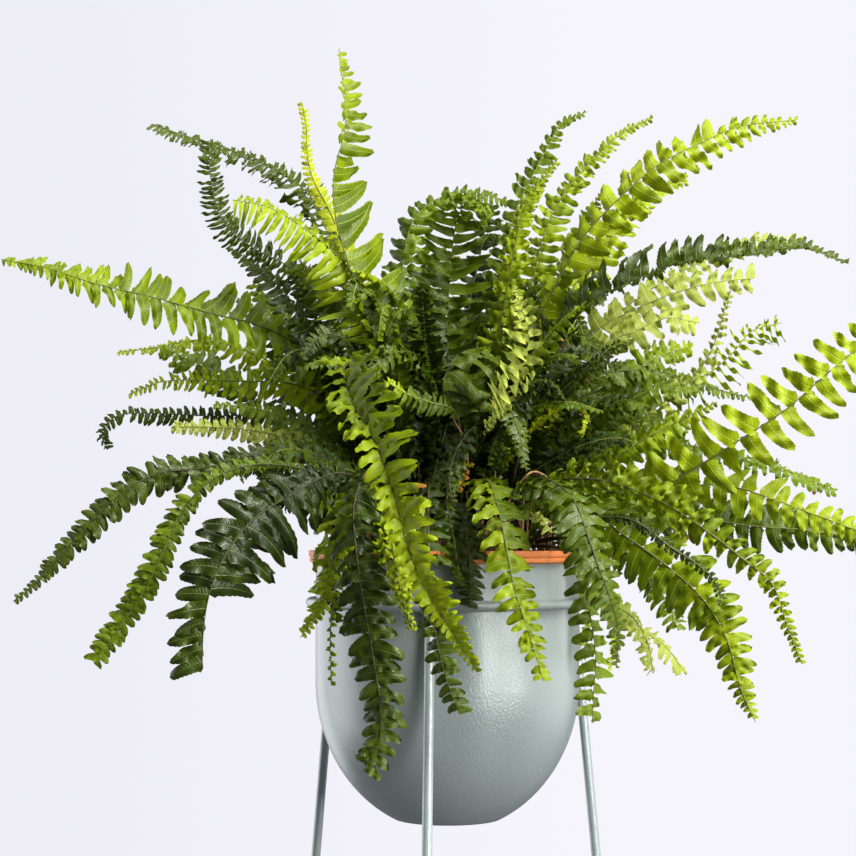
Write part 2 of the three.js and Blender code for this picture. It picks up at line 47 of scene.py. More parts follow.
bowlLow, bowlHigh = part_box("planter_bowl")
axis = np.array([(bowlLow.x + bowlHigh.x) / 2, (bowlLow.y + bowlHigh.y) / 2, 0.0])
print("frame loaded, pot axis at", axis[:2])


# Shader sockets as Python values

class Wire:
    def __init__(self, tree, socket=None):
        self.tree = tree
        self.socket = socket

    def node(self, kind, settings, inputs, output=0):  # settings first, then the sockets
        made = self.tree.nodes.new("ShaderNode" + kind)
        for name, value in settings.items():
            setattr(made, name, value)
        for name, value in inputs.items():
            if isinstance(value, Wire):
                self.tree.links.new(value.socket, made.inputs[name])
            else:
                made.inputs[name].default_value = value
        return Wire(self.tree, made.outputs[output] if len(made.outputs) else None)

    def math(self, operation, first, second=0.0):
        return self.node("Math", {"operation": operation}, {0: first, 1: second})

    def __add__(self, other):
        return self.math("ADD", self, other)

    def __radd__(self, other):
        return self.math("ADD", other, self)

    def __sub__(self, other):
        return self.math("SUBTRACT", self, other)

    def __rsub__(self, other):
        return self.math("SUBTRACT", other, self)

    def __mul__(self, other):
        return self.math("MULTIPLY", self, other)

    def __rmul__(self, other):
        return self.math("MULTIPLY", other, self)

    def __pow__(self, other):
        return self.math("POWER", self, other)

    def __abs__(self):
        return self.math("ABSOLUTE", self)

    def sine(self):
        return self.math("SINE", self)

    def step(self, low, high):  # 0 below low, 1 above high, smooth between
        limits = {"Value": self, "From Min": low, "From Max": high}
        return self.node("MapRange", {"interpolation_type": "SMOOTHSTEP"}, limits)

    def mix(self, low, high):  # a colour between two, by this value
        return self.node("Mix", {"data_type": "RGBA"}, {0: self, 6: low, 7: high}, 2)

    def part(self, axisName):
        return self.node("SeparateXYZ", {}, {0: self}, axisName)

    def places(self):
        return self.node("TexCoord", {}, {}, "Object")

    def noise(self, scale, detail=3.0, roughness=0.5):
        sockets = {"Vector": self.places(), "Scale": scale, "Detail": detail, "Roughness": roughness}
        return self.node("TexNoise", {}, sockets)

    def stored(self, name, output):  # a value kept on the mesh
        return self.node("Attribute", {"attribute_name": name}, {}, output)

    def bump(self, height, depth, strength=1.0):
        return self.node("Bump", {}, {"Height": height, "Distance": depth, "Strength": strength}, "Normal")


def colour(code, shade=1.0):  # "#rrggbb" as the screen shows it, to light
    values = [int(code[i:i + 2], 16) / 255 for i in (1, 3, 5)]
    return [shade * (v / 12.92 if v < 0.04045 else ((v + 0.055) / 1.055) ** 2.4) for v in values] + [1.0]


def newMaterial(name, describe, through=None):
    material = bpy.data.materials.new(name)
    material.use_nodes = True
    material.node_tree.nodes.clear()
    start = Wire(material.node_tree)
    surface = start.node("BsdfPrincipled", {}, describe(start), "BSDF")
    if through:  # light that comes through a thin leaf
        share, tint = through
        behind = start.node("BsdfTranslucent", {}, {"Color": tint}, "BSDF")
        surface = start.node("MixShader", {}, {0: share, 1: surface, 2: behind})
    start.node("OutputMaterial", {}, {"Surface": surface})
    return material


# Materials of the holder. The scales count features per metre and the reliefs are in metres

coatLook = {"body": "#9ca8a6", "dust": "#abb5b4", "cloud": 9.0, "speckle": 300.0, "metal": 0.18,
            "shine": 0.85, "gloss": 0.26, "peel": 560.0, "peelDepth": 0.0004, "lacquer": 0.3,
            "lacquerGloss": 0.3}
plasticLook = {"body": "#f08f4e", "faded": "#e57f3f", "cloud": 30.0, "grain": 900.0, "relief": 0.00008,
               "gloss": 0.42}
soilLook = {"dark": "#17100b", "light": "#4a3524", "fibre": "#6b4c32", "clods": 150.0, "fibres": 420.0,
            "relief": 0.0012, "gloss": 0.8}
twigLook = {"dark": "#4f3420", "light": "#a67e52", "age": 240.0, "grain": 900.0, "relief": 0.0003,
            "gloss": 0.65}


def coatNodes(at):
    cloud = at.noise(coatLook["cloud"], 4.0)
    grain = at.noise(coatLook["peel"], 2.0) + 0.35 * at.noise(2.4 * coatLook["peel"], 1.0)
    speckle = at.noise(coatLook["speckle"], 2.0).step(0.62, 0.8)
    tint = (cloud * 0.35 + speckle * 0.25).mix(colour(coatLook["body"]), colour(coatLook["dust"]))
    return {"Base Color": tint, "Metallic": coatLook["metal"], "Roughness": coatLook["gloss"] + 0.08 * grain,
            "Specular IOR Level": coatLook["shine"], "Coat Weight": coatLook["lacquer"],
            "Coat Roughness": coatLook["lacquerGloss"], "Normal": at.bump(grain, coatLook["peelDepth"], 0.8)}


def plasticNodes(at):
    cloud = at.noise(plasticLook["cloud"], 4.0)
    grain = at.noise(plasticLook["grain"], 2.0)
    tint = cloud.step(0.35, 0.7).mix(colour(plasticLook["body"]), colour(plasticLook["faded"]))
    return {"Base Color": tint, "Roughness": plasticLook["gloss"] + 0.15 * cloud,
            "Normal": at.bump(grain + 0.6 * cloud, plasticLook["relief"], 0.5)}


def soilNodes(at):
    clods = at.noise(soilLook["clods"], 6.0, 0.65)
    fibre = at.noise(soilLook["fibres"], 3.0).step(0.58, 0.72)
    tint = clods.step(0.4, 0.75).mix(colour(soilLook["dark"]), colour(soilLook["light"]))
    tint = (fibre * 0.5).mix(tint, colour(soilLook["fibre"]))
    return {"Base Color": tint, "Roughness": soilLook["gloss"] + 0.2 * fibre,
            "Normal": at.bump(clods, soilLook["relief"])}


def twigNodes(at):
    age = at.noise(twigLook["age"], 4.0)
    tint = age.step(0.35, 0.65).mix(colour(twigLook["dark"]), colour(twigLook["light"]))
    return {"Base Color": tint, "Roughness": twigLook["gloss"] + 0.2 * age,
            "Normal": at.bump(at.noise(twigLook["grain"]), twigLook["relief"])}


# Materials of the leaves: deep is the older leaf, and also painted shade on fronds whose tones are set low in
# the shaded middle of the plant; light the younger and the edges, vein the midrib

leafValues = ("deep", "light", "vein", "gloss", "through", "relief", "shine", "slot")
leafTable = {
    "bright": ("#3a4f02", "#92a40c", "#a6b43c", 0.32, 0.24, 0.0004, 0.22, "leaf_bright"),
    "yellow": ("#68790a", "#b3bc1a", "#c6cb58", 0.38, 0.28, 0.0005, 0.22, "leaf_yellow"),
    "green": ("#263a02", "#677d0b", "#87973a", 0.30, 0.20, 0.0006, 0.26, "leaf_green"),
    "dark": ("#182702", "#4b5d04", "#69792f", 0.32, 0.14, 0.0007, 0.30, "leaf_dark"),
    "glossy": ("#1b2904", "#48580a", "#707f48", 0.29, 0.12, 0.0007, 0.36, "leaf_glossy"),
    # painted shade: shady is a darker, duller copy of dark, for the fronds deep inside the plant
    "shady": ("#152302", "#435604", "#5c6c2a", 0.52, 0.16, 0.0006, 0.15, "leaf_dark"),
    "pale": ("#707d22", "#adb850", "#c4cc86", 0.44, 0.30, 0.0004, 0.24, "leaf_pale"),
}
leafLooks = {look: dict(zip(leafValues, values)) for look, values in leafTable.items()}
leafMarks = {"blotch": 70.0, "veins": 62, "slant": 9, "rib": (0.02, 0.1), "rim": (0.75, 1.0), "grain": 420.0,
             "buckle": 130.0, "withered": "#85521f"}
stemLook = {"old": "#2e1d10", "grown": "#454a18", "young": "#7d892b", "scale": "#4a2f18",
            "withered": "#a87444", "scales": 500.0, "relief": 0.0004, "gloss": 0.55}


def leafNodes(look):
    def describe(at):
        place = at.stored("leafPlace", "Vector")  # along the leaflet, across it, and its dryness
        along, across, dry = place.part("X"), place.part("Y"), place.part("Z")
        tone = at.stored("leafTone", "Fac")
        blotch = at.noise(leafMarks["blotch"], 5.0, 0.6)
        side = abs(across)
        rib = 1 - side.step(*leafMarks["rib"])
        veins = (along * leafMarks["veins"] - side * leafMarks["slant"]).sine().step(0.2, 1.0)
        veins = veins * (1 - side.step(0.7, 1.0))
        shade = tone + (blotch - 0.5) * 0.7 + side.step(*leafMarks["rim"]) * 0.25 - veins * 0.10
        tint = shade.step(0.0, 1.0).mix(colour(look["deep"]), colour(look["light"]))
        tint = (rib * 0.5).mix(tint, colour(look["vein"]))
        tint = (dry * (0.6 + blotch)).step(0.25, 0.7).mix(tint, colour(leafMarks["withered"]))
        relief = 0.2 * veins + rib * -0.7 + 0.15 * at.noise(leafMarks["grain"], 3.0)
        relief = relief + 1.3 * at.noise(leafMarks["buckle"], 2.0)
        return {"Base Color": tint, "Roughness": look["gloss"] + 0.1 * blotch + 0.3 * dry,
                "Specular IOR Level": look["shine"], "Normal": at.bump(relief, look["relief"], 0.8)}
    return describe


def stemNodes(at):
    age = at.stored("leafTone", "Fac")  # 0 at the root, 1 at the tip
    scale = at.noise(stemLook["scales"], 4.0)
    tint = age.step(0.12, 0.50).mix(colour(stemLook["old"]), colour(stemLook["grown"]))
    tint = age.step(0.5, 1.0).mix(tint, colour(stemLook["young"]))
    tint = (scale.step(0.48, 0.64) * 0.6).mix(tint, colour(stemLook["scale"]))
    tint = at.stored("leafPlace", "Vector").part("Z").mix(tint, colour(stemLook["withered"]))
    return {"Base Color": tint, "Roughness": stemLook["gloss"] + 0.2 * scale,
            "Normal": at.bump(scale, stemLook["relief"])}


materials = {"coat": newMaterial("coat", coatNodes), "plastic": newMaterial("plastic", plasticNodes),
             "soil": newMaterial("soil", soilNodes), "twig": newMaterial("twig", twigNodes),
             "stem": newMaterial("stem", stemNodes)}
for shadeName, leafLook in leafLooks.items():
    glow = (leafLook["through"], colour(leafLook["light"], 1.1))
    materials[shadeName] = newMaterial("leaf_" + shadeName, leafNodes(leafLook), glow)
print("materials made:", len(materials))


# Meshes

def newObject(name, points, faces):
    mesh = bpy.data.meshes.new(name)
    mesh.from_pydata((np.asarray(points) * mm + axis).tolist(), [], [list(face) for face in faces])
    piece = bpy.data.objects.new(name, mesh)
    bpy.context.scene.collection.objects.link(piece)
    return piece


def newMesh(name, points, faces, looks, slot, nodes=(), faceLooks=None, kept=None):
    piece = newObject(name, points, faces)
    mesh = piece.data
    for look in looks:
        mesh.materials.append(materials[look])
    if faceLooks is not None:
        mesh.polygons.foreach_set("material_index", np.asarray(faceLooks, np.int32))
    for key, values in (kept or {}).items():
        values = np.asarray(values, np.float32)
        kind = ("FLOAT_VECTOR", "vector") if values.ndim == 2 else ("FLOAT", "value")
        mesh.attributes.new(key, kind[0], "POINT").data.foreach_set(kind[1], values.ravel())
    mesh.shade_smooth()
    mesh.update()
    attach(piece, "root")
    if nodes:
        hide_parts(*nodes)
    return piece


def gridFaces(rows, columns, closed=False):  # quads of a grid, joined round if closed
    faces = []
    for i in range(rows - 1):
        for j in range(columns if closed else columns - 1):
            a, b = i * columns + j, i * columns + (j + 1) % columns
            faces.append((a, b, b + columns, a + columns))
    return faces


def roundOf(count):  # angles evenly round a circle
    return np.arange(count) * 2 * math.pi / count


def polar(out, turn):
    return out * math.cos(turn), out * math.sin(turn)


def turned(profile, sides):  # a profile turned about the pot's axis
    radius, height = np.array(profile, float).T
    angle = roundOf(sides)
    rings = np.stack([np.outer(radius, np.cos(angle)), np.outer(radius, np.sin(angle)),
                      np.repeat(height[:, None], sides, 1)], -1)
    return rings.reshape(-1, 3), gridFaces(len(profile), sides, closed=True)


def curveThrough(points, steps=40):  # centripetal spline, as dense points
    given = np.array(points, float)
    given = np.vstack([2 * given[0] - given[1], given, 2 * given[-1] - given[-2]])
    dense = []
    for a, b, c, d in zip(given, given[1:], given[2:], given[3:]):
        t0, t1, t2 = (np.linalg.norm(q - p) ** 0.5 for p, q in ((a, b), (b, c), (c, d)))
        leave = ((b - a) / t0 - (c - a) / (t0 + t1) + (c - b) / t1) * t1
        reach = ((c - b) / t1 - (d - b) / (t1 + t2) + (d - c) / t2) * t1
        s = np.linspace(0, 1, steps, endpoint=False)[:, None]
        dense.append(b + leave * s + (3 * (c - b) - 2 * leave - reach) * s ** 2
                     + (2 * (b - c) + leave + reach) * s ** 3)
    return np.vstack(dense + [given[-2:-1]])


def spaced(dense, shares):  # points at these shares of a curve's length
    lengths = np.concatenate([[0], np.cumsum(np.linalg.norm(np.diff(dense, axis=0), axis=1))])
    return along3(np.asarray(shares) * lengths[-1], lengths, dense), lengths[-1]


def along3(at, shares, vectors):  # vectors kept along a curve, read at some shares
    return np.stack([np.interp(at, shares, vectors[:, k]) for k in range(3)], -1)


def unit(vectors):
    return vectors / np.maximum(np.linalg.norm(vectors, axis=-1, keepdims=True), 1e-9)


def carried(points, left):  # tangents, and left carried along at right angles to them
    tangents = unit(np.gradient(points, axis=0))
    lefts = []
    for tangent in tangents:
        left = unit(left - tangent * left.dot(tangent))
        lefts.append(left)
    return tangents, np.array(lefts)


def tube(points, radii, sides):  # a closed round tube along points
    tangents, lefts = carried(points, np.array([0.31, 0.95, 0.05]))
    ups = np.cross(tangents, lefts)
    angle = roundOf(sides)
    ring = lefts[:, None] * np.cos(angle)[:, None] + ups[:, None] * np.sin(angle)[:, None]
    places = points[:, None] + ring * np.asarray(radii)[:, None, None]
    faces = gridFaces(len(points), sides, closed=True)
    last = (len(points) - 1) * sides
    faces += [tuple(range(sides - 1, -1, -1)), tuple(range(last, last + sides))]
    return places.reshape(-1, 3), faces


def joined(parts):  # several point and face lists as one
    points, faces = [], []
    count = 0
    for somePoints, someFaces in parts:
        points.append(somePoints)
        faces += [tuple(i + count for i in face) for face in someFaces]
        count += len(somePoints)
    return np.vstack(points), faces


# The planter: bowl, ring and legs

bowl = {"radius": 110, "top": 450, "wallFoot": 352.7, "roundDepth": 125, "baseRadius": 45, "sheet": 1.5,
        "steps": 30, "sides": 160}
stand = {"rod": 8, "ringHeight": 417, "legTurns": [-97.4, 19, 147.3], "splay": 0.096, "gap": 0.3,
         "sides": 24, "ringSteps": 160, "legSteps": 30, "foot": 6, "soft": 0.8, "collar": 2.2,
         "collarHeight": 5}
rodRadius = stand["rod"] / 2
ringRadius = bowl["radius"] + stand["gap"] + rodRadius


def bowlLine(inset):
    low = math.acos(bowl["baseRadius"] / bowl["radius"])
    line = []
    for i in range(bowl["steps"] + 1):
        angle = low * (1 - i / bowl["steps"])
        line.append(((bowl["radius"] - inset) * math.cos(angle),
                     bowl["wallFoot"] - (bowl["roundDepth"] - inset) * math.sin(angle)))
    return line


def bowlProfile():
    outer, inner = bowlLine(0), bowlLine(bowl["sheet"])[::-1]
    half = bowl["sheet"] / 2
    lip = [(bowl["radius"] - half + half * math.cos(t), bowl["top"] - half + half * math.sin(t))
           for t in np.linspace(0, math.pi, 7)]
    base = outer[0][1]
    return [(pin, base), (bowl["baseRadius"] * 0.9, base)] + outer + lip + inner + [(pin, inner[-1][1])]


newMesh("bowl_shell", *turned(bowlProfile(), bowl["sides"]), ["coat"], "coat", ["planter_bowl"])

tubeAngles = np.linspace(0, 2 * math.pi, stand["sides"], endpoint=False)
ringProfile = list(zip(ringRadius + rodRadius * np.cos(tubeAngles),
                       stand["ringHeight"] + rodRadius * np.sin(tubeAngles)))
newMesh("hanging_ring", *turned(ringProfile + ringProfile[:1], stand["ringSteps"]), ["coat"], "coat",
        ["stand_ring"])

legTop = stand["ringHeight"] - math.cos(math.pi / 6) * rodRadius - stand["gap"]
for i, legTurn in enumerate(stand["legTurns"]):
    outward = np.array([*polar(1, math.radians(legTurn)), 0.0])
    across = np.array([-outward[1], outward[0], 0.0])
    heights = [0, 0, stand["soft"]]
    heights += list(np.linspace(stand["foot"], legTop - stand["collarHeight"], stand["legSteps"]))
    heights += [legTop - stand["collar"], legTop - stand["soft"], legTop, legTop]
    radii = np.full(len(heights), rodRadius)
    radii[[0, -1]] = pin
    radii[1] = rodRadius - stand["soft"]
    radii[-4:-1] += np.array([0.35, 0.7, 1.0]) * stand["collar"]
    legPoints = []
    for height, radius in zip(heights, radii):
        centre = outward * (ringRadius + stand["splay"] * (legTop - height)) + [0, 0, height]
        legPoints.append(centre + radius * (np.cos(tubeAngles)[:, None] * outward
                                            + np.sin(tubeAngles)[:, None] * across))
    legFaces = gridFaces(len(heights), stand["sides"], closed=True)
    newMesh(f"rod_leg_{i + 1}", np.vstack(legPoints), legFaces, ["coat"], "coat", [f"stand_leg_{i + 1}"])
print("planter made")


# The nursery pot: a stepped rim on the bowl's edge, a tapered wall, a floor with drain holes

pot = {"wallTop": 106, "baseRadius": 72, "base": 272, "wall": 2, "seat": 450.3, "sides": 160,
       "drains": 4, "drainRadius": 5, "drainCircle": 48, "drainSides": 32, "drill": (-6, 8)}
rim = {"top": 460, "radius": 116, "bandInset": 0.8, "bandHeight": 3.7, "grooveInset": 2, "groove": 0.5,
       "lip": 3.5, "throat": 5, "shelf": 2, "soft": 0.6, "crease": 0.2}


def potProfile():
    seat, out, base, inset = pot["seat"], rim["radius"], pot["base"], rim["bandInset"]
    band, soft, groove = seat + rim["bandHeight"], rim["soft"], rim["groove"]
    wall, crease = pot["wall"], rim["crease"]
    return [(pin, base), (pot["baseRadius"] - 2, base), (pot["baseRadius"], base + 2),
            (pot["wallTop"] - 1, seat - 2), (pot["wallTop"], seat), (out - inset - soft, seat),
            (out - inset, seat + soft), (out - inset, band - soft), (out - inset - crease, band),
            (out - rim["grooveInset"], band + groove), (out - 0.3, band + 2 * groove),
            (out, band + 2 * groove + soft), (out, rim["top"] - soft), (out - crease, rim["top"] - crease),
            (out - soft, rim["top"]), (out - rim["lip"] + soft, rim["top"]),
            (out - rim["lip"], rim["top"] - soft), (out - rim["throat"], seat + 2 * rim["shelf"]),
            (pot["wallTop"] - wall, seat + rim["shelf"]), (pot["baseRadius"] - wall, base + wall),
            (pin, base + wall), (pin, base)]


potPiece = newMesh("plastic_pot", *turned(potProfile(), pot["sides"]), ["plastic"], "plastic",
                   ["nursery_pot"])
drains = []
for i in range(pot["drains"]):
    x, y = polar(pot["drainCircle"], (i + 0.5) * 2 * math.pi / pot["drains"])
    ends = np.array([[x, y, pot["base"] + end] for end in pot["drill"]])
    drains.append(tube(ends, [pot["drainRadius"]] * 2, pot["drainSides"]))
drill = newObject("drill", *joined(drains))
cut = potPiece.modifiers.new("drains", "BOOLEAN")
cut.object = drill
drilled = bpy.data.meshes.new_from_object(potPiece.evaluated_get(bpy.context.evaluated_depsgraph_get()))
potPiece.modifiers.clear()
potPiece.data = drilled
bpy.data.objects.remove(drill)
print("nursery pot made,", len(drilled.polygons), "faces")


# The soil, with lumps on its top, bark chips, thin dry roots and the stubs of old stems

soil = {"top": 452, "radius": 103, "slope": 12, "edge": 3, "rings": 46, "sides": 150, "lump": 3.2,
        "lumpSize": 14, "below": [(103, 448), (103, 440), (70, 274.5), (0.2, 274.5)]}
bark = {"count": 420, "size": (1.2, 3.6), "shape": [1, 0.7, 0.5], "rough": (0.7, 1.3), "sides": 7,
        "profile": [(0.05, -0.5), (0.8, -0.4), (1.0, 0.1), (0.6, 0.5), (0.05, 0.6)]}
roots = {"count": 46, "out": (20, 92), "steps": 7, "stride": 7, "swerve": 0.8, "limit": 97,
         "radius": (0.7, 0.25)}
stalks = {"count": 240, "out": 96, "foot": 447, "height": (14, 85), "lean": 0.35, "bend": 3,
          "radius": (1.3, 0.5)}
draw = np.random.default_rng(21)


def lumps(x, y, size, strength):  # smooth random heights at these places
    return strength * np.array([noise.fractal(Vector((a / size, b / size, 3.1)), 0.9, 2.1, 4)
                                for a, b in zip(np.ravel(x), np.ravel(y))]).reshape(np.shape(x))


def soilTop(x, y):
    edge = np.clip((soil["radius"] - np.hypot(x, y)) / soil["slope"], 0, 1)
    height = soil["top"] - soil["edge"] * (1 - edge)
    return height + lumps(x, y, soil["lumpSize"], soil["lump"]) * edge - 1


def soilBody():
    below = np.array(soil["below"])
    radius = np.concatenate([np.linspace(0.2, soil["radius"], soil["rings"]), below[:, 0]])
    angle = roundOf(soil["sides"])
    x, y = np.outer(radius, np.cos(angle)), np.outer(radius, np.sin(angle))
    z = soilTop(x, y)
    z[-len(below):] = below[:, 1:]
    return np.stack([x, y, z], -1).reshape(-1, 3), gridFaces(len(radius), soil["sides"], closed=True)


def spun(points, first, second, angle):  # turned in the plane of two axes
    flat = [[math.cos(angle), math.sin(angle)], [-math.sin(angle), math.cos(angle)]]
    points[:, [first, second]] = points[:, [first, second]] @ flat


def barkChip():  # a small crushed lump of bark lying on the soil
    x, y = polar(soil["radius"] * 0.96 * math.sqrt(draw.uniform()), draw.uniform(0, 2 * math.pi))
    centre = [x, y, float(soilTop(np.array([x]), np.array([y]))[0]) + 0.4]
    size = draw.uniform(*bark["size"]) * np.array(bark["shape"])
    points = np.array([[*polar(r, t), z] for r, z in bark["profile"] for t in roundOf(bark["sides"])])
    points *= size * draw.uniform(*bark["rough"], (len(points), 1))
    tilt, turn = draw.uniform(-0.6, 0.6), draw.uniform(0, 2 * math.pi)
    spun(points, 0, 2, tilt)
    spun(points, 0, 1, turn)
    return points + centre, gridFaces(len(bark["profile"]), bark["sides"], closed=True)


def dryRoot():  # a dry root lying on the soil
    turn, out = draw.uniform(0, 2 * math.pi), draw.uniform(*roots["out"])
    heading = draw.uniform(0, 2 * math.pi)
    spots = []
    for i in range(roots["steps"]):
        spots.append(np.add(polar(out, turn), polar(roots["stride"] * i, heading)))
        heading += draw.uniform(-roots["swerve"], roots["swerve"])
    x, y = np.array(spots).T
    pull = np.minimum(1, roots["limit"] / np.hypot(x, y))
    x, y = x * pull, y * pull
    z = soilTop(x, y) + draw.uniform(0.2, 2.5, roots["steps"])
    line = curveThrough(np.stack([x, y, z], -1), 5)
    return tube(line, np.linspace(*roots["radius"], len(line)) * draw.uniform(0.6, 1.3), 5)


def oldStalk():  # the stub of an old stem, standing on the soil
    turn = draw.uniform(0, 2 * math.pi)
    out = stalks["out"] * math.sqrt(draw.uniform(0.05, 1))
    lean = draw.uniform(0, stalks["lean"])
    x, y = polar(out, turn)
    height = draw.uniform(*stalks["height"])
    spots = [(x * (1 - s * lean * 0.4) + stalks["bend"] * s * draw.uniform(-1, 1), y * (1 - s * lean * 0.4),
              stalks["foot"] + s * height) for s in (0, 0.35, 0.7, 1)]
    line = curveThrough(spots, 5)
    return tube(line, np.linspace(*stalks["radius"], len(line)), 6)


newMesh("soil_fill", *soilBody(), ["soil"], "soil", ["soil"])
newMesh("bark_chips", *joined([barkChip() for i in range(bark["count"])]), ["soil"], "soil")
threads = [dryRoot() for i in range(roots["count"])] + [oldStalk() for i in range(stalks["count"])]
newMesh("dry_roots", *joined(threads), ["twig"], "runner")

runner = {"radius": 0.95, "sides": 8, "steps": 24,
          "route": [(34, -84, 440.3), (34, -84, 460), (48, -92, 500), (66, -94, 522), (82, -84, 514),
                    (90, -60, 484), (90, -40, 460), (90, -40, 440.3)]}
runnerLine = curveThrough(runner["route"], runner["steps"])
newMesh("runner_stem", *tube(runnerLine, np.full(len(runnerLine), runner["radius"]), runner["sides"]),
        ["twig"], "runner", ["runner"])
print("soil and runner made")


# The fronds. Each is its node's name after "frond_", the points of its stem as (across, up, depth) seen from
# the viewer, the longest leaflet, the turn about the stem in degrees, at both ends where they differ, and
# its colour. What else it says differs from usualFrond

viewer = np.array([-16.0, -1500.0, 469.0])
rootFoot, rootRise = 440.3, 460.0
stem = {"root": 1.2, "blade": 0.75, "tip": 0.3, "swelling": 0.5, "steps": 84, "sides": 6, "ripe": 0.6,
        "holeTop": 447, "crown": 80}
leafShape = {"pitch": 0.42, "morePitch": 1.2, "leastPitch": 4.4, "leastReach": 4.6, "lost": 0.012,
             "width": 0.98, "sweep": 0.30, "small": 12, "taper": 0.36, "ear": 0.2, "yaw": 6.0, "tip": 8.0,
             "twist": 14.0, "cup": 0.10, "wave": 0.095, "waves": 11, "teeth": 0.07, "curl": 0.35,
             "pucker": 0.09, "sunk": 0.35, "withered": 0.015}
grids = {"fine": (16, 5), "plain": (11, 4), "small": (8, 3)}  # points along and across a leaflet
usualFrond = {
    "bare": 0.3, "end": 1,  # shares of the stem where the leaflets begin and end
    "start": 0.6, "swell": 1.6,  # reach of the first leaflets, and how fast it grows from there
    "full": 0.1, "taper": 1.8,  # reach of the last leaflets, and how late it falls to that
    "gap": 1, "broad": 1, "crisp": 1,  # the leaflets' distance, width and waviness
    "tones": (0.2, 0.82),  # from the old to the young colour, at both ends; set lower on fronds in the plant's shaded middle, as painted shade
    "lean": (0, 0), "sides": (1, 1),  # turn to the tip in degrees and reach of left and right leaflets
    "fold": -6, "droop": 0.16,  # leaflets raised from the flat in degrees, and the sag of their tips
    "missing": None, "spoilt": None,  # leaflets gone as (side, from, to), and withered as (from, to)
    "aim": None,  # heading of the frond where its ends don't give it
    "tight": 0.55, "grid": "fine",  # the most reach inside a bend, as a share of its radius
}


def frond(node, points, reach, roll, look, **changes):
    given = {"node": node, "points": points, "reach": reach, "look": look,
             "roll": roll if isinstance(roll, tuple) else (roll, roll)}
    return {**usualFrond, **given, **changes}


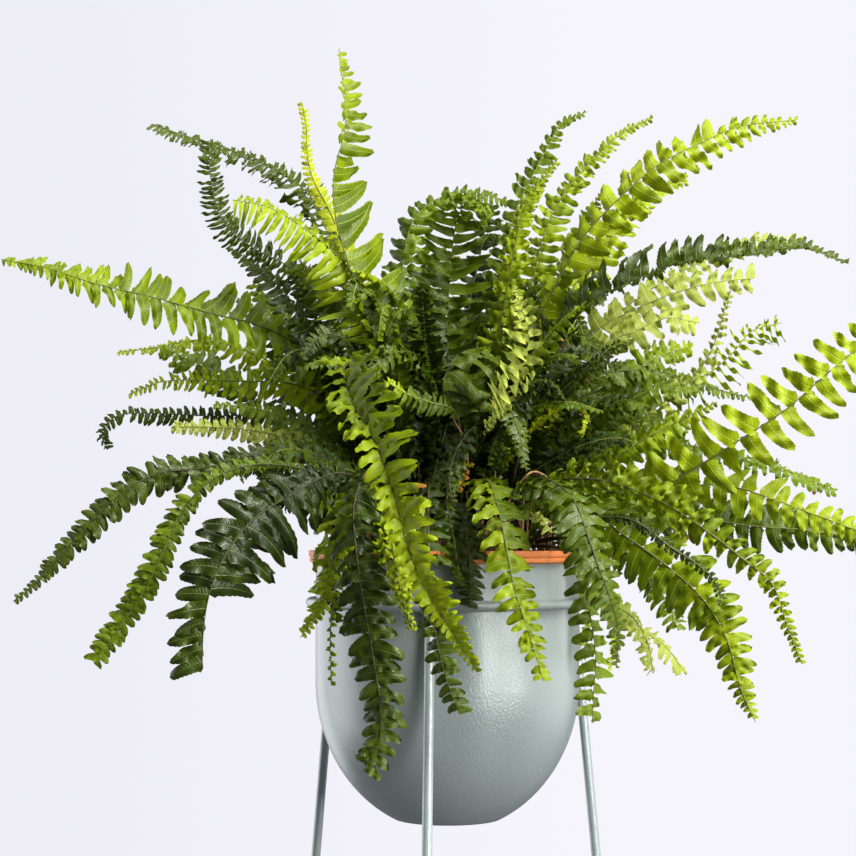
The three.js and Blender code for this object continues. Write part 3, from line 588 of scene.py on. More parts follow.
fronds = [
    frond("left_01", [(-60, 560, -20), (-105, 618, -30), (-155, 648, -35), (-200, 660, -40), (-250, 674, -45),
        (-300, 686, -50), (-340, 699, -50), (-378, 706, -45)], 30, (-55, -60), "bright", broad=0.95,
        crisp=0.6, tones=(0.15, 0.5), lean=(-42, -27), sides=(1.1, 1.5)),
    frond("top_01", [(-35, 560, -40), (-62, 640, -60), (-80, 690, -70), (-95, 745, -75), (-96, 780, -75),
        (-88, 812, -75), (-86, 840, -70), (-90, 868, -65), (-92, 888, -60)], 36, -60, "bright", crisp=0.5,
        tones=(0.15, 0.6), sides=(0.5, 1.4), fold=28, missing=(1, 0.52, 0.8)),
    frond("right_01", [(40, 570, -20), (85, 670, -40), (115, 724, -50), (145, 757, -55), (178, 786, -60),
        (212, 804, -60), (250, 820, -60), (298, 826, -60)], 27, (60, 65), "bright", taper=3.2, gap=1.3,
        broad=0.9, tones=(0.45, 0.9)),
    frond("right_02", [(60, 520, -60), (120, 512, -100), (170, 508, -120), (210, 530, -130), (250, 555, -140),
        (285, 578, -145), (320, 608, -150), (352, 634, -150), (405, 672, -150)], 33, (70, 75), "bright",
        taper=3, gap=1.25, broad=0.78, tones=(0.5, 1.2), lean=(-28, -12)),
    frond("front_01", [(-20, 540, -50), (-60, 610, -90), (-86, 617, -130), (-80, 585, -170), (-62, 553, -200),
        (-46, 510, -220), (-35, 470, -230), (-20, 430, -235), (-3, 402, -235), (25, 358, -230)], 36,
        (-36, -22), "bright", full=0.12, taper=2, gap=0.66, broad=1.25, crisp=1.1, tones=(0.2, 1.15),
        sides=(1, 0.55), fold=36, missing=(1, 0.3, 0.465)),
    frond("left_02", [(-50, 500, -90), (-90, 525, -130), (-130, 507, -160), (-165, 484, -175),
        (-187, 455, -180), (-199, 425, -180), (-204, 395, -180), (-205, 360, -178)], 33, -70, "glossy",
        bare=0.4, start=0.32, full=0.8, gap=0.72, broad=1.4, tones=(0, 0.55), lean=(-30, 4),
        sides=(1.45, 0.88), missing=(1, 0.84, 1)),
    frond("right_03", [(58, 505, -70), (105, 505, -110), (145, 475, -145), (185, 446, -165), (215, 418, -175),
        (234, 385, -175), (245, 345, -175), (257, 317, -175)], 31, 60, "bright", broad=1.08,
        tones=(0.1, 0.85)),
    frond("right_04", [(50, 560, -25), (85, 630, -45), (120, 668, -60), (158, 688, -75), (200, 704, -85),
        (250, 709, -85), (300, 716, -85), (341, 702, -85)], 26, (25, 30), "dark", start=0.85, gap=0.88,
        broad=1.2, sides=(1.3, 0.85), fold=28),
    frond("left_03", [(-60, 510, -40), (-110, 540, -60), (-160, 540, -70), (-205, 529, -75), (-245, 524, -80),
        (-275, 507, -85), (-300, 482, -85), (-330, 450, -85), (-350, 428, -85), (-364, 417, -85)], 18,
        (-50, -60), "glossy", start=0.35, taper=2.3, gap=1.1, broad=1.4, crisp=0.9, tones=(0.45, 1)),
    frond("left_04", [(-60, 500, -70), (-110, 525, -100), (-160, 532, -115), (-195, 521, -125),
        (-222, 495, -130), (-238, 460, -135), (-252, 430, -135), (-270, 402, -130), (-294, 368, -130)], 20,
        -60, "green", start=0.05, swell=0.9, full=0.45, taper=2.2, gap=1.05, broad=1.35, crisp=0.8,
        tones=(0.35, 1), sides=(1, 1.3)),
    frond("front_02", [(20, 500, -60), (32, 520, -110), (42, 498, -150), (50, 460, -170), (57, 425, -178),
        (68, 392, -180), (80, 352, -178)], 22, 0, "bright", full=0.3, gap=1.2),
    frond("front_03", [(-30, 500, -60), (-62, 530, -100), (-78, 500, -140), (-76, 455, -160),
        (-70, 415, -165), (-62, 370, -165), (-56, 330, -163), (-57, 300, -160), (-70, 276, -158)], 25, 0,
        "dark", full=0.5, gap=1.2, broad=1.15, crisp=1.2),
    frond("right_05", [(45, 500, -95), (80, 520, -150), (105, 504, -180), (118, 472, -190), (127, 445, -195),
        (137, 418, -195), (143, 392, -190), (141, 362, -185)], 26, 0, "dark", gap=0.85, broad=1.05,
        tones=(0.45, 1.15)),
    frond("back_01", [(5, 560, 20), (0, 640, 45), (3, 700, 50), (8, 738, 40), (18, 757, 10), (28, 752, -25),
        (33, 744, -50)], 40, 0, "green", gap=0.68, broad=0.85, aim=-90),
    frond("back_02", [(-20, 580, 60), (-38, 660, 85), (-37, 705, 105), (-28, 740, 115), (-8, 758, 120),
        (18, 763, 120), (45, 758, 120), (68, 748, 120)], 27, 40, "green", crisp=1.2, tones=(0.2, 0.9),
        sides=(0.8, 1)),
    frond("left_05", [(-45, 560, 30), (-85, 690, 60), (-112, 755, 75), (-150, 786, 80), (-190, 802, 85),
        (-225, 813, 85), (-250, 822, 85)], 26, -30, "dark", full=0.35, gap=0.52, broad=0.95, crisp=1.3),
    frond("left_06", [(-50, 570, 10), (-90, 650, 20), (-130, 697, 30), (-165, 716, 35), (-190, 738, 35),
        (-200, 770, 35), (-203, 808, 35)], 19, (-75, -80), "dark", full=0.5, gap=0.5, broad=0.9, crisp=1.3),
    frond("left_07", [(-40, 560, -30), (-62, 645, -50), (-78, 690, -60), (-100, 716, -70), (-125, 735, -75),
        (-150, 750, -80), (-182, 757, -80)], 36, -55, "bright", start=0.8, full=0.4, gap=0.55, broad=0.9,
        tones=(0.25, 0.85), lean=(-14, -14), droop=0.4),
    frond("top_02", [(-40, 570, 20), (-75, 690, 25), (-100, 748, 25), (-115, 778, 25), (-119, 800, 25),
        (-120, 822, 25), (-124, 842, 25)], 15, -70, "yellow"),
    frond("top_03", [(25, 580, 30), (42, 660, 45), (50, 715, 50), (60, 752, 55), (75, 782, 55), (87, 805, 55),
        (98, 823, 55), (120, 833, 55)], 20, 60, "green", taper=2.6, gap=1.35, crisp=1.4, tones=(0.35, 0.95)),
    frond("top_04", [(28, 580, 0), (45, 650, -5), (55, 705, -10), (64, 742, -10), (76, 766, -10),
        (95, 793, -10)], 19, 70, "bright", crisp=1.5, tones=(0.5, 1.15)),
    frond("right_06", [(30, 570, 60), (65, 660, 85), (85, 735, 95), (105, 770, 100), (130, 797, 100),
        (150, 815, 100), (176, 828, 100)], 22, 50, "bright"),
    frond("right_07", [(38, 560, 20), (85, 650, 40), (120, 700, 50), (148, 735, 55), (172, 762, 60),
        (205, 777, 60)], 24, 60, "bright", full=0.25, gap=1.2, crisp=1.4, tones=(0.7, 1.4)),
    frond("right_08", [(40, 560, 90), (120, 640, 120), (180, 685, 130), (225, 708, 135), (262, 722, 135),
        (300, 722, 135)], 18, 60, "pale", full=0.5, gap=1.6, tones=(-0.2, 0.9)),
    frond("right_08", [(60, 560, 60), (120, 640, 75), (160, 664, 80), (195, 678, 85), (225, 686, 85),
        (260, 690, 85)], 26, 70, "pale", full=0.5, gap=1.6, tones=(-0.3, 0.8)),
    frond("right_10", [(60, 540, 30), (130, 580, 40), (180, 600, 45), (215, 606, 45), (240, 625, 45),
        (258, 645, 45), (283, 652, 45)], 26, 60, "bright", full=0.6, gap=0.65, broad=0.5, crisp=1.6,
        tones=(0.1, 1.1), droop=0.4),
    frond("right_11", [(60, 520, 0), (140, 560, 5), (190, 590, 5), (215, 615, 5), (228, 640, 5),
        (235, 665, 5), (243, 686, 5)], 14, 60, "pale", gap=2, crisp=2),
    frond("right_12", [(60, 510, -50), (130, 512, -90), (190, 514, -110), (235, 514, -115), (262, 507, -120),
        (300, 493, -120), (343, 477, -120), (395, 455, -120)], 23, 60, "bright", gap=1.5, tones=(0.45, 1.15)),
    frond("right_13", [(60, 500, -20), (130, 500, -40), (200, 490, -50), (250, 481, -55), (300, 477, -55),
        (343, 470, -55), (385, 455, -55)], 23, 60, "green", full=0.25, taper=2.6, gap=1.2, crisp=1.4),
    frond("right_14", [(60, 520, 20), (120, 548, 30), (180, 552, 35), (235, 541, 40), (275, 531, 40),
        (305, 519, 40), (328, 511, 40)], 20, 50, "green", full=0.45, crisp=1.5, tones=(0, 0.8)),
    frond("right_15", [(60, 505, -80), (120, 520, -130), (175, 503, -150), (215, 478, -160), (250, 451, -165),
        (272, 432, -165), (284, 398, -165), (296, 366, -165)], 18, 60, "bright", full=0.12, gap=1.5,
        crisp=2.2, tones=(0.3, 1.1)),
    frond("right_16", [(60, 500, 40), (100, 480, 75), (135, 430, 95), (160, 396, 100), (182, 380, 100),
        (200, 356, 100)], 18, 60, "pale", full=0.75, taper=3, gap=1.1),
    frond("right_17", [(50, 490, -60), (90, 500, -110), (110, 460, -135), (119, 410, -140), (124, 370, -140),
        (122, 340, -140), (121, 317, -138)], 16, 0, "green", full=0.85, taper=4, gap=1.6, broad=1.6,
        tones=(0.3, 0.9)),
    frond("right_09", [(45, 530, -20), (95, 590, -30), (130, 585, -45), (160, 568, -55), (185, 550, -60)], 28,
        40, "dark", gap=0.6, broad=0.8),
    frond("right_14", [(50, 540, 10), (110, 600, 15), (160, 612, 20), (205, 604, 25), (235, 593, 25),
        (262, 588, 25)], 19, 50, "dark"),
    frond("left_08", [(-60, 545, 60), (-120, 600, 90), (-170, 628, 100), (-210, 637, 105), (-245, 631, 110),
        (-278, 627, 110)], 20, -50, "bright", crisp=1.6, tones=(0.3, 1.3)),
    frond("left_09", [(-50, 530, 10), (-90, 580, 0), (-130, 600, -5), (-170, 602, -5), (-205, 603, -5),
        (-240, 602, -5), (-267, 592, -5)], 20, -70, "bright", broad=0.8, crisp=1.4, tones=(0.9, 1.4)),
    frond("left_10", [(-60, 520, 50), (-110, 565, 55), (-150, 573, 55), (-200, 573, 55), (-250, 575, 55),
        (-278, 573, 55), (-291, 560, 55), (-287, 545, 55)], 14, -62, "dark", full=0.5, gap=1.05, broad=0.9),
    frond("left_11", [(-60, 515, -15), (-110, 545, -15), (-150, 558, -15), (-190, 563, -15),
        (-232, 564, -15)], 14, -60, "pale", full=0.4, gap=1.3, crisp=1.8, tones=(-0.3, 0.9)),
    frond("left_10", [(-60, 515, 25), (-97, 545, 5), (-125, 551, -15), (-143, 540, -30), (-150, 520, -36),
        (-158, 495, -38), (-162, 476, -38)], 18, -60, "dark"),
    frond("front_04", [(-10, 500, -70), (-15, 515, -110), (-16, 470, -150), (-14, 420, -165), (-8, 380, -165),
        (0, 350, -163), (8, 328, -160)], 17, 0, "dark", full=0.6, gap=1.35),
    frond("front_05", [(-42, 490, -45), (-66, 515, -80), (-84, 500, -108), (-92, 475, -128), (-97, 450, -137),
        (-103, 425, -141), (-112, 405, -142), (-123, 387, -142)], 27, 0, "bright", bare=0.2, start=0.7,
        taper=1.4, broad=1.2, crisp=1.5, tones=(0.9, 1.5), sides=(1, 1.35)),
    frond("front_05", [(-42, 492, -50), (-74, 517, -115), (-91, 480, -152), (-95, 430, -164),
        (-98, 390, -164), (-97, 348, -162)], 8, 0, "bright", gap=3.2, crisp=2.5, tones=(0.2, 1.2)),
    frond("front_06", [(-25, 490, -100), (-40, 500, -150), (-46, 470, -190), (-42, 440, -200),
        (-36, 415, -203), (-30, 395, -203)], 19, 0, "bright", broad=1.3, crisp=2.6, tones=(0.6, 1.15)),
    frond("front_07", [(0, 490, -60), (8, 500, -95), (15, 475, -115), (19, 445, -122), (19, 413, -122)], 20,
        0, "glossy", full=0.4, crisp=1.3, tones=(0.1, 0.7)),
    frond("front_08", [(34, 476, -66), (52, 488, -90), (66, 494, -104), (78, 488, -112), (86, 476, -116)], 12,
        0, "pale", full=0.7),
    frond("front_09", [(10, 540, -10), (30, 600, -40), (28, 628, -75), (8, 623, -105), (-3, 600, -120),
        (3, 575, -125), (15, 552, -125), (18, 530, -122)], 46, -5, "glossy", end=0.88, full=0.5, gap=0.5,
        broad=1.7, tones=(0.8, 1.4), missing=(-1, 0, 1), tight=1.5),
    frond("front_10", [(-20, 560, -20), (-15, 610, -50), (-32, 627, -80), (-52, 622, -105), (-68, 606, -120),
        (-82, 590, -125)], 20, -30, "dark", gap=1.3, crisp=1.5),
    frond("front_11", [(25, 540, -75), (50, 590, -120), (64, 615, -140), (69, 640, -148), (64, 662, -148),
        (57, 682, -145)], 24, 0, "pale", bare=0.56, start=0.15, gap=1.2, broad=0.8, crisp=4, tones=(0.5, 1.4),
        sides=(0.6, 1.35), droop=0.4),
    frond("front_12", [(40, 520, -40), (75, 565, -70), (100, 584, -85), (118, 575, -92), (114, 556, -95)], 14,
        0, "yellow", crisp=1.8),
    frond("front_07", [(10, 530, -20), (20, 585, -50), (45, 590, -90), (60, 560, -120), (66, 530, -135)], 22,
        0, "dark"),
    frond("back_03", [(-20, 560, 60), (-40, 650, 130), (-60, 660, 200), (-75, 600, 260), (-80, 520, 290)], 28,
        0, "green"),
    frond("back_04", [(15, 570, 70), (30, 670, 140), (45, 690, 210), (55, 640, 270), (60, 560, 310)], 30, 0,
        "dark"),
    frond("back_05", [(-45, 540, 60), (-90, 610, 120), (-125, 600, 180), (-150, 540, 220), (-160, 480, 235)],
        26, 0, "dark"),
    frond("back_06", [(50, 540, 60), (110, 610, 120), (150, 600, 180), (175, 545, 225), (185, 480, 245)], 28,
        0, "bright"),
    frond("back_07", [(-5, 520, 90), (-10, 580, 160), (-20, 570, 230), (-25, 500, 280), (-28, 430, 300)], 26,
        0, "green"),
    frond("back_08", [(40, 510, 70), (75, 550, 130), (98, 520, 180), (104, 450, 205), (98, 380, 210)], 22, 0,
        "yellow"),
    frond("back_05", [(-40, 510, 70), (-68, 555, 140), (-76, 520, 200), (-76, 450, 230), (-72, 385, 235)], 22,
        0, "dark"),
]


def stemLine(row, root, shift):
    points = [(*root, rootFoot), (*root, rootRise)]
    for i, (across, up, depth) in enumerate(row["points"]):
        depth += shift * (0.55 if i == 0 else 1)
        points.append(viewer + (np.array([across, 0, up]) - viewer) * (1 - depth / viewer[1]))
    return curveThrough(points)


def nodePoints(name):  # a CAD node's vertices, from the pot's axis
    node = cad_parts[name]
    return (np.array([node.matrix_world @ v.co for v in node.data.vertices]) - axis) / mm


def fitted(row, index, count):  # the frond's stem as the CAD has settled it
    points = nodePoints("frond_" + row["node"])
    foot = points[(points[:, 2] < stem["holeTop"]) & (np.hypot(points[:, 0], points[:, 1]) < stem["crown"])]
    root = (foot.min(0) + foot.max(0))[:2] / 2
    if count == 2:  # two fronds in one node stand close together
        root[0] += (-0.6, 0.6)[index]
    tree = kdtree.KDTree(len(points))
    for i, point in enumerate(points):
        tree.insert(point, i)
    tree.balance()
    shares = np.concatenate([[0.0], np.linspace(row["bare"], row["end"], 14)])
    return min((stemLine(row, root, shift) for shift in range(-70, 75, 5)),
               key=lambda line: np.mean([tree.find(Vector(p))[2] for p in spaced(line, shares)[0]]))


def reachAt(row, along):
    past = np.maximum(0, along - 0.25) / 0.75
    swollen = np.minimum(1, row["start"] + row["swell"] * along)
    reach = row["reach"] * swollen * (1 - (1 - row["full"]) * past ** row["taper"])
    return np.maximum(reach, leafShape["leastReach"])


def leafletPlaces(row, length):  # shares of the stem where leaflets stand
    at, places = row["bare"] - 0.012, []
    while at < row["end"] - 0.006:
        along = max(0, (at - row["bare"]) / (1 - row["bare"]))
        step = leafShape["pitch"] * row["gap"] * float(reachAt(row, along)) + leafShape["morePitch"]
        step = max(step, leafShape["leastPitch"]) / length
        places.append((at, along, step))
        at += step
    return np.array(places)


def halfWidths(u, v):  # outline of a leaflet, 1 at its widest
    base = np.clip(u / 0.09, 0, 1) ** 0.6
    body = 1 - leafShape["taper"] * np.clip((u - 0.12) / 0.88, 0, 1)
    tip = np.sqrt(np.clip(1 - (np.clip(u - 0.68, 0, 1) / 0.32) ** 2.2, 0, 1))
    ear = leafShape["ear"] * np.exp(-((u - 0.09) / 0.07) ** 2) * np.clip(v, 0, 1)
    return (0.74 + 0.26 * base) * body * (0.04 + 0.96 * tip) + ear


def stemOf(row, line):  # the stem's middle line with its two directions
    shares = np.linspace(0, 1, stem["steps"])
    centre, length = spaced(line, shares)
    if row["aim"] is None:
        heading = unit((line[-1] - line[0]) * [1, 1, 0])
    else:
        heading = polar(1, math.radians(row["aim"]))
    tangents, lefts = carried(centre, np.array([-heading[1], heading[0], 0]))
    return {"shares": shares, "centre": centre, "length": length, "tangents": tangents, "lefts": lefts}


def blend(ends, share):
    return ends[0] + (ends[1] - ends[0]) * share


def leafletsOf(row, line, side):  # where one side's leaflets stand and how they lie
    stood = leafletPlaces(row, line["length"])
    at = stood[:, 0] + 0.25 * side * stood[:, 2]  # the two sides stand a little apart
    keep = (at > row["bare"] - 0.02) & (at < row["end"]) & (draw.uniform(size=len(at)) > leafShape["lost"])
    if row["missing"] and row["missing"][0] == side:
        keep &= (at < row["missing"][1]) | (at > row["missing"][2])
    at, along, pitch = at[keep], stood[keep, 1], stood[keep, 2] * line["length"]
    count = len(at)
    tangent = unit(along3(at, line["shares"], line["tangents"]))
    ahead = unit(along3(at + 0.01, line["shares"], line["tangents"]))
    left = along3(at, line["shares"], line["lefts"])
    left = unit(left - tangent * (left * tangent).sum(-1, keepdims=True))
    roll = np.radians(blend(row["roll"], along))[:, None]
    left = left * np.cos(roll) + np.cross(tangent, left) * np.sin(roll)
    up = np.cross(tangent, left)
    fold = math.radians(row["fold"]) + np.radians(draw.normal(0, leafShape["tip"], count))[:, None]
    out = left * side * np.cos(fold) + up * np.sin(fold)
    lift = up * np.cos(fold) - left * side * np.sin(fold)
    which = 0 if side > 0 else 1
    yaw = np.radians(draw.normal(row["lean"][which], leafShape["yaw"], count))[:, None]
    out, forward = out * np.cos(yaw) + tangent * np.sin(yaw), tangent * np.cos(yaw) - out * np.sin(yaw)
    inward = ((ahead - tangent) / (0.01 * line["length"]) * out).sum(-1)  # how sharply the stem bends there
    reach = reachAt(row, along) * row["sides"][which] * draw.normal(1, 0.05, count)
    reach = np.minimum(reach, row["tight"] / np.maximum(1e-6, inward))
    width = pitch * leafShape["width"] * row["broad"] * draw.uniform(0.9, 1.1, count)
    width = np.minimum(width, 0.5 * reach + 1.6)
    point = along3(at, line["shares"], line["centre"]) + tangent * (0.3 * pitch)[:, None]
    dry = np.where(draw.uniform(size=count) < leafShape["withered"], draw.uniform(0.4, 0.9, count), 0.0)
    if row["spoilt"]:
        dry = np.where((along > row["spoilt"][0]) & (along < row["spoilt"][1]), 1.1, dry)
    # a leaflet's tone runs between its frond's tones; where these are set low the darker colour is painted
    # shade as well as age
    tone = blend(row["tones"], along ** 1.4) + draw.normal(0, 0.1, count) + draw.uniform(-0.1, 0.1)
    return {"point": point, "out": out, "forward": forward, "lift": lift, "reach": reach, "width": width,
            "dry": dry, "tone": tone}


def leafletMesh(row, leaves, rows, columns):  # every leaflet as one curved, toothed grid
    count = len(leaves["reach"])
    u, v = np.meshgrid(np.linspace(0, 1, rows) ** 0.85, np.linspace(-1, 1, columns), indexing="ij")
    toothed = np.tile(np.arange(rows) % 2, (columns, 1)).T.ravel()[None]  # every other row stands out
    u, v = u.ravel()[None], v.ravel()[None]
    reach, width = leaves["reach"][:, None], leaves["width"][:, None]
    half = halfWidths(u, v) * (1 + leafShape["teeth"] * toothed * (u > 0.15) * (u < 0.9))
    half = half * (width / 2) * v
    sweep = leafShape["sweep"] * draw.uniform(0.6, 1.4, (count, 1))
    sag = row["droop"] * draw.uniform(0.6, 1.5, (count, 1))
    curl = leafShape["curl"] * draw.normal(0.6, 0.9, (count, 1))
    twist = np.radians(draw.normal(8, leafShape["twist"], (count, 1))) * (0.3 + 1.3 * u)
    wave = leafShape["wave"] * draw.uniform(0.2, 1.7, (count, 1)) * reach * row["crisp"]
    phase = draw.uniform(0, 2 * math.pi, (count, 1))
    swing = np.sin(u * leafShape["waves"] + phase + np.sign(v) * 1.3) * v ** 2 * wave * np.clip(u * 5, 0, 1)
    pucker = leafShape["pucker"] * (toothed - 0.5) * v ** 2 * width * row["crisp"]
    cup = -leafShape["cup"] * draw.normal(1, 0.9, (count, 1)) * v ** 2 * width
    a = reach * u - leafShape["sunk"]  # away from the stem, then towards its tip, then up from the blade
    b = reach * sweep * u ** 1.8 + half * np.cos(twist)
    c = -reach * (sag * u ** 2 + curl * np.clip(u - 0.5, 0, 1) ** 2) + half * np.sin(twist)
    c = c + swing + cup + pucker
    points = (leaves["point"][:, None] + leaves["out"][:, None] * a[..., None]
              + leaves["forward"][:, None] * b[..., None] + leaves["lift"][:, None] * c[..., None])
    dry = leaves["dry"][:, None]
    dryness = dry * np.clip((u - 0.7) / 0.3 + np.clip(dry - 1, 0, 1) * 9, 0, 1)
    place = np.stack(np.broadcast_arrays(u, v, dryness), -1)
    tone = np.broadcast_to(leaves["tone"][:, None], dryness.shape)
    quads = np.array(gridFaces(rows, columns))
    faces = (quads[None] + (np.arange(count) * rows * columns)[:, None, None]).reshape(-1, 4)
    return points.reshape(-1, 3), faces.tolist(), place.reshape(-1, 3), tone.ravel()


def frondParts(row, line):  # the stem, then its leaflets in two sizes of grid
    middle = stemOf(row, line)
    shares, centre = middle["shares"], middle["centre"]
    radii = np.interp(shares, [0, row["bare"], 1], [stem["root"], stem["blade"], stem["tip"]])
    radii = radii + stem["swelling"] * np.exp(-((centre[:, 2] - rootRise) / 12) ** 2)
    points, faces = tube(centre, radii, stem["sides"])
    dead = np.repeat((shares > row["end"] + 0.01).astype(float), stem["sides"])  # dry past the last leaflets
    place = np.stack([dead * 0, dead * 0, dead], -1)
    ripe = stem["ripe"] if row["look"] in ("dark", "glossy") else 1
    parts = [(points, faces, place, np.repeat(shares * ripe, stem["sides"]), 0)]
    for side in (1, -1):
        leaves = leafletsOf(row, middle, side)
        small = leaves["reach"] < leafShape["small"]
        for size, chosen in ((row["grid"], ~small), ("small", small)):
            if chosen.any():
                some = {key: values[chosen] for key, values in leaves.items()}
                parts.append((*leafletMesh(row, some, *grids[size]), 1))
    return parts


def frondPiece(name, rows, nodes=()):  # rows are (frond, line) and share one colour
    parts = [part for row, line in rows for part in frondParts(row, line)]
    points, faces = joined([part[:2] for part in parts])
    faceLooks = [part[4] for part in parts for face in part[1]]
    kept = {"leafPlace": np.vstack([part[2] for part in parts]),
            "leafTone": np.concatenate([part[3] for part in parts])}
    look = rows[0][0]["look"]
    newMesh(name, points, faces, ["stem", look], leafLooks[look]["slot"], nodes, faceLooks, kept)
    return sum(len(face) - 2 for face in faces)


byNode = {}
for row in fronds:
    byNode.setdefault(row["node"], []).append(row)
total = 0
for name, group in byNode.items():
    rows = [(row, fitted(row, index, len(group))) for index, row in enumerate(group)]
    total += frondPiece("leafy_" + name, rows, ["frond_" + name])
print("fronds made:", len(fronds), "rows,", total, "triangles")


# Smaller fronds between the large ones, in the same terms. Their depth runs evenly between given ones, and
# the last number is the bare share of the stem

def sprig(points, depths, reach, roll, look, bare, **changes):
    places = np.linspace(0, 1, len(points))
    depths = np.round(np.interp(places, np.linspace(0, 1, len(depths)), depths))
    points = [(*point, depth) for point, depth in zip(points, depths)]
    return frond("", points, reach, roll, look, bare=bare, **changes)


sprigs = [
    sprig([(-86, 586), (-107, 633), (-130, 668), (-159, 698), (-186, 717)], (-30, -60), 24, (-45, -55),
        "dark", 0.48, tones=(-0.1, 0.6)),
    sprig([(-83, 570), (-114, 615), (-147, 650), (-178, 674)], (0, 10), 22, (-50, -60), "green", 0.48),
    sprig([(-63, 629), (-80, 656), (-105, 684), (-124, 703)], (-20, -40), 26, -40, "green", 0.67, full=0.5),
    sprig([(-98, 553), (-132, 570), (-166, 580), (-196, 583)], (-20, -30), 16, -60, "green", 0.54),
    sprig([(129, 527), (162, 551), (198, 570), (228, 585)], (-90, -110), 18, 60, "bright", 0.52),
    sprig([(95, 519), (129, 543), (162, 553), (193, 548)], (-60, -80), 20, 40, "bright", 0.47,
        tones=(-0.1, 0.8)),
    sprig([(61, 502), (85, 514), (105, 505), (120, 485)], (60, 90), 22, 30, "dark", 0.48),
    sprig([(7, 576), (-13, 584), (-33, 591), (-51, 602)], (-110, -130), 12, -80, "bright", 0.7, full=0.5,
        taper=3, gap=0.6, tones=(-0.9, 1.25)),
    sprig([(23, 563), (9, 546), (2, 524), (4, 500)], (-105, -135), 15, 0, "glossy", 0.65, gap=1.2, crisp=2,
        tones=(0.3, 0.9)),
    sprig([(70, 599), (54, 578), (41, 554), (34, 532)], (-95, -110), 20, 10, "dark", 0.69, gap=0.65,
        broad=0.9, tones=(0.1, 0.9)),
    sprig([(153, 486), (188, 462), (211, 447), (224, 434), (229, 423), (226, 417)],
        (-185, -190, -195, -198, -200, -202), 6, 40, "dark", 0.55, full=0.6, crisp=3),
    sprig([(107, 468), (116, 434), (119, 401), (115, 370)], (-60, -60), 9, 0, "pale", 0.39, full=0.6,
        crisp=2),
    sprig([(129, 447), (139, 412), (142, 385), (135, 362)], (-130, -150), 7, 0, "yellow", 0.54, full=0.6,
        crisp=2.5),
    sprig([(-93, 455), (-98, 426), (-93, 399)], (-130, -140), 10, 0, "dark", 0.62, full=0.6, crisp=2),
    sprig([(-80, 485), (-82, 455), (-79, 421), (-73, 401)], (-120, -135), 14, 0, "dark", 0.53,
        tones=(-0.3, 0.3)),
    sprig([(-51, 485), (-58, 451), (-63, 418), (-61, 384)], (-115, -125), 13, 0, "dark", 0.47, crisp=1.5,
        tones=(-0.3, 0.4)),
    sprig([(-2, 502), (4, 477), (8, 451), (11, 430)], (-110, -125), 14, 0, "green", 0.56, crisp=1.6),
    sprig([(137, 502), (162, 498), (183, 485), (198, 464)], (-90, -110), 20, 50, "bright", 0.59, broad=1.2,
        crisp=1.5),
    sprig([(120, 561), (152, 586), (183, 597), (213, 593)], (-60, -70), 20, 60, "green", 0.58,
        tones=(0.3, 1)),
    sprig([(-23, 646), (-40, 671), (-56, 688), (-80, 698)], (-50, -70), 20, -30, "bright", 0.72,
        tones=(0.2, 1)),
    sprig([(-6, 578), (-8, 620), (-6, 671), (-1, 713)], (60, 90), 26, 0, "dark", 0.5, full=0.5, grid="plain"),
    sprig([(-14, 586), (-23, 629), (-19, 671), (-9, 696)], (30, 60), 24, 0, "green", 0.55, full=0.5,
        tones=(-0.1, 0.5), grid="plain"),
    sprig([(-80, 561), (-95, 620), (-112, 666), (-135, 703)], (25, 40), 25, -45, "dark", 0.44, grid="plain"),
    sprig([(19, 488), (55, 480), (88, 474), (125, 467)], (80, 100), 15, 60, "dark", 0.37, tones=(-0.3, 0.2),
        grid="plain"),
    sprig([(129, 418), (154, 405), (167, 384), (172, 358)], (20, 60), 15, 50, "pale", 0.44, full=0.6,
        crisp=1.6),
    sprig([(132, 468), (162, 446), (183, 418), (193, 394)], (-60, -90), 16, 50, "green", 0.46, full=0.6,
        crisp=1.4),
    sprig([(-166, 586), (-189, 605), (-215, 619), (-236, 629)], (40, 60), 20, -60, "green", 0.67, full=0.5),
    sprig([(116, 582), (150, 605), (179, 624), (208, 632)], (10, 40), 20, 60, "bright", 0.57, full=0.4,
        tones=(0, 0.8)),
    sprig([(129, 629), (162, 646), (186, 656), (213, 652)], (50, 70), 20, 60, "pale", 0.68, full=0.5, gap=1.4,
        crisp=1.8),
    sprig([(13, 533), (11, 527), (8, 521), (6, 514)], (-122, -124), 9, 0, "yellow", 0.85, start=1, full=1,
        broad=1.3, crisp=4, spoilt=(-1, 2)),
    sprig([(4, 576), (-5, 548), (-11, 523), (-14, 502)], (-60, -95), 19, 0, "dark", 0.62, crisp=1.3,
        tones=(0, 0.7)),
    sprig([(103, 551), (141, 563), (179, 570), (206, 566)], (10, 30), 20, 60, "bright", 0.52, full=0.4,
        tones=(-0.2, 0.6)),
    sprig([(-94, 608), (-122, 639), (-144, 666), (-162, 684)], (20, 40), 22, -50, "green", 0.62, full=0.4,
        tones=(-0.1, 0.7)),
    sprig([(92, 679), (105, 711), (117, 740), (132, 764)], (-20, -30), 19, 60, "bright", 0.72,
        tones=(0.4, 0.9)),
    sprig([(68, 627), (85, 647), (102, 666), (120, 679)], (-30, -40), 19, 50, "bright", 0.72,
        tones=(0.1, 0.9)),
    sprig([(70, 464), (85, 461), (102, 461), (117, 464)], (50, 50), 9, 40, "dark", 0.5, full=0.8, crisp=1.5,
        tones=(-0.4, 0.1)),
    sprig([(61, 610), (78, 632), (95, 652), (115, 668)], (-75, -95), 18, 50, "bright", 0.69, tones=(0, 0.8)),
    sprig([(19, 667), (26, 700), (32, 730), (36, 754)], (70, 90), 21, 0, "dark", 0.71, full=0.4,
        tones=(0, 0.7), grid="plain"),
    sprig([(70, 467), (85, 467), (100, 467), (115, 469)], (62, 62), 12, 30, "dark", 0.54, start=1, full=0.8,
        crisp=1.5, tones=(-0.4, 0.1)),
]


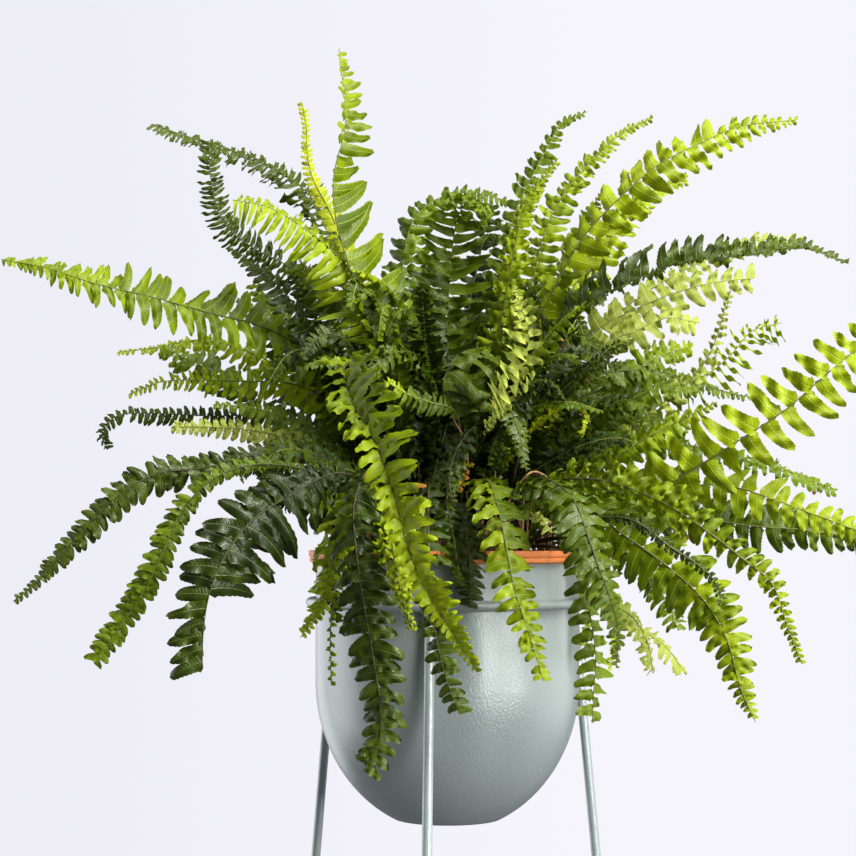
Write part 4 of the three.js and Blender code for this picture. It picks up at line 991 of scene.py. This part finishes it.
def sprigLine(row):
    across, _, depth = row["points"][0]
    return stemLine(row, (np.clip(0.6 * across, -60, 60), np.clip(0.4 * depth, -60, 60)), 0)


for look in leafLooks:
    rows = [(row, sprigLine(row)) for row in sprigs if row["look"] == look]
    if rows:
        total += frondPiece("sprigs_" + look, rows)
print("sprigs made:", len(sprigs), "rows,", total, "triangles so far")


# Young inner fronds that fill the middle of the plant

# the shady look among these is painted shade for the plant's inner fronds
inner = {"count": 92, "reach": (15, 27), "spread": (50, 230), "rise": (60, 270), "sag": 0.55, "swirl": 0.35,
         "side": 172, "front": -100, "back": 170, "leastRise": 12, "crown": 8.6, "crowns": 48,
         "looks": ("shady", "green", "dark", "green", "shady", "bright")}
goldenTurn = 2.39996


def eased(value, limit):  # nears the limit without a kink
    return value / (1 + abs(value / limit) ** 4) ** 0.25


def innerFrond(index):
    root = inner["crown"] * math.sqrt(index % inner["crowns"] + 0.5)  # spread evenly over the soil
    turn = index * goldenTurn
    lean = turn + draw.uniform(-0.7, 0.7)
    far = draw.uniform(*inner["spread"])
    rise = draw.uniform(*inner["rise"]) * (1.1 - 0.5 * far / inner["spread"][1])
    sag = draw.uniform(0.0, inner["sag"]) * rise * far / inner["spread"][1]
    swirl = draw.uniform(-inner["swirl"], inner["swirl"])
    start = polar(root, turn)
    points = [(*start, rootFoot), (*start, rootRise)]
    for s in (0.3, 0.5, 0.68, 0.84, 1.0):
        x, y = np.add(start, polar(far * s ** 1.25, lean + swirl * s))
        z = rootRise + rise * math.sin(min(1, 1.15 * s) * math.pi / 2) - sag * s ** 4
        points.append((eased(x, inner["side"]), eased(y, inner["front"] if y < 0 else inner["back"]),
                       max(z, rootRise + inner["leastRise"])))
    roll = 65 * math.cos(lean) + draw.uniform(-15, 15)
    # painted shade: the inner fronds' tones start below the old colour, so the middle of the plant reads
    # darker
    row = frond("", points, draw.uniform(*inner["reach"]), roll, inner["looks"][index % len(inner["looks"])],
                fold=draw.uniform(-10, 20), bare=0.24, full=0.2, gap=0.95, crisp=1.4, tones=(-0.45, 0.55),
                grid="plain")
    return row, curveThrough(points)


made = [innerFrond(i) for i in range(inner["count"])]
for look in ("shady", "dark", "green", "bright"):
    total += frondPiece("inner_" + look, [pair for pair in made if pair[0]["look"] == look])
print("inner fronds made,", total, "triangles of leaves")


# Floor, backdrop, lights and camera

stage = {"floor": "#b6b5b9", "floorLight": "#eae9ec", "floorRadius": 1.8, "fade": (0.45, 1.1),
         "back": "#eeedf6", "backRight": "#f6f5fc", "backRadius": 7, "world": 0.15,
         "worldTint": (0.93, 0.95, 1.0, 1.0), "aimHeight": 0.5}
view = {"lens": 75, "film": 36, "place": (-0.0162, -1.5, 0.4686), "tilt": 3.593}
white, cool = (1.0, 1.0, 1.0), (0.95, 0.97, 1.0)
softboxes = {  # turn from the viewer, rise in degrees, distance, size, power, tint
    "key": (45, 44, 2.4, (1.2, 1.2), 120.0, (1.0, 0.99, 0.95)),
    "overhead": (-20, 80, 2.2, (1.6, 1.4), 28.0, white),
    "window": (47, 1, 2.3, (1.3, 1.1), 48.0, white),
    "left": (-104, -3, 2.2, (1.5, 2.2), 25.0, cool),
    "edge": (-142, -2, 2.2, (1.0, 2.2), 13.0, cool),
    "right": (112, 0, 2.2, (1.4, 1.9), 9.0, white),
}


def floorNodes(at):
    place = at.places()
    out = (place.part("X") ** 2 + place.part("Y") ** 2) ** 0.5
    cloud = at.noise(3.0, 4.0)
    return {"Base Color": cloud.mix(colour(stage["floor"]), colour(stage["floorLight"])),
            "Roughness": 0.7 + 0.1 * cloud, "Alpha": 1 - out.step(*stage["fade"]),
            "Normal": at.bump(at.noise(200.0), 0.0003, 0.3)}


def backNodes(at):
    # painted light: the glowing backdrop is a little darker on the left and lighter on the right, as the
    # studio light falls on it
    across = at.places().part("X").step(-2.2, 1.2)
    return {"Base Color": colour("#000000"), "Specular IOR Level": 0.0, "Emission Strength": 1.0,
            "Emission Color": across.mix(colour(stage["back"]), colour(stage["backRight"]))}


def stagePiece(name, nodes, hidden):  # the shape just added is named, given its material and hidden from the listed rays
    piece = bpy.context.object
    piece.name = name
    piece.data.materials.append(newMaterial(name, nodes))
    for ray in hidden:
        setattr(piece, "visible_" + ray, False)


bpy.ops.mesh.primitive_circle_add(vertices=96, radius=stage["floorRadius"], fill_type="NGON")
stagePiece("floor", floorNodes, ["diffuse", "glossy"])
bpy.ops.mesh.primitive_uv_sphere_add(segments=48, ring_count=24, radius=stage["backRadius"])
stagePiece("backdrop", backNodes, ["diffuse", "glossy", "transmission", "shadow"])

world = bpy.data.worlds.new("studio")
world.use_nodes = True
background = world.node_tree.nodes["Background"]
background.inputs["Color"].default_value = stage["worldTint"]
background.inputs["Strength"].default_value = stage["world"]
bpy.context.scene.world = world

for name, (turn, rise, distance, size, power, tint) in softboxes.items():
    lamp = bpy.data.lights.new(name, "AREA")
    lamp.shape = "RECTANGLE"
    lamp.size, lamp.size_y = size
    lamp.energy = power
    lamp.color = tint
    piece = bpy.data.objects.new(name, lamp)
    a, b = math.radians(turn), math.radians(rise)
    place = Vector((math.cos(b) * math.sin(a), -math.cos(b) * math.cos(a), math.sin(b))) * distance
    piece.location = Vector((axis[0], axis[1], stage["aimHeight"])) + place
    piece.rotation_euler = place.to_track_quat("Z", "Y").to_euler()
    bpy.context.scene.collection.objects.link(piece)

camera = bpy.data.cameras.new("camera")
camera.lens, camera.sensor_width = view["lens"], view["film"]
cameraPiece = bpy.data.objects.new("camera", camera)
cameraPiece.location = Vector(axis) + Vector(view["place"])
cameraPiece.rotation_euler = (math.radians(90 + view["tilt"]), 0, 0)
bpy.context.scene.collection.objects.link(cameraPiece)
bpy.context.scene.camera = cameraPiece
bpy.context.scene.view_settings.view_transform = "Standard"
print("stage made")
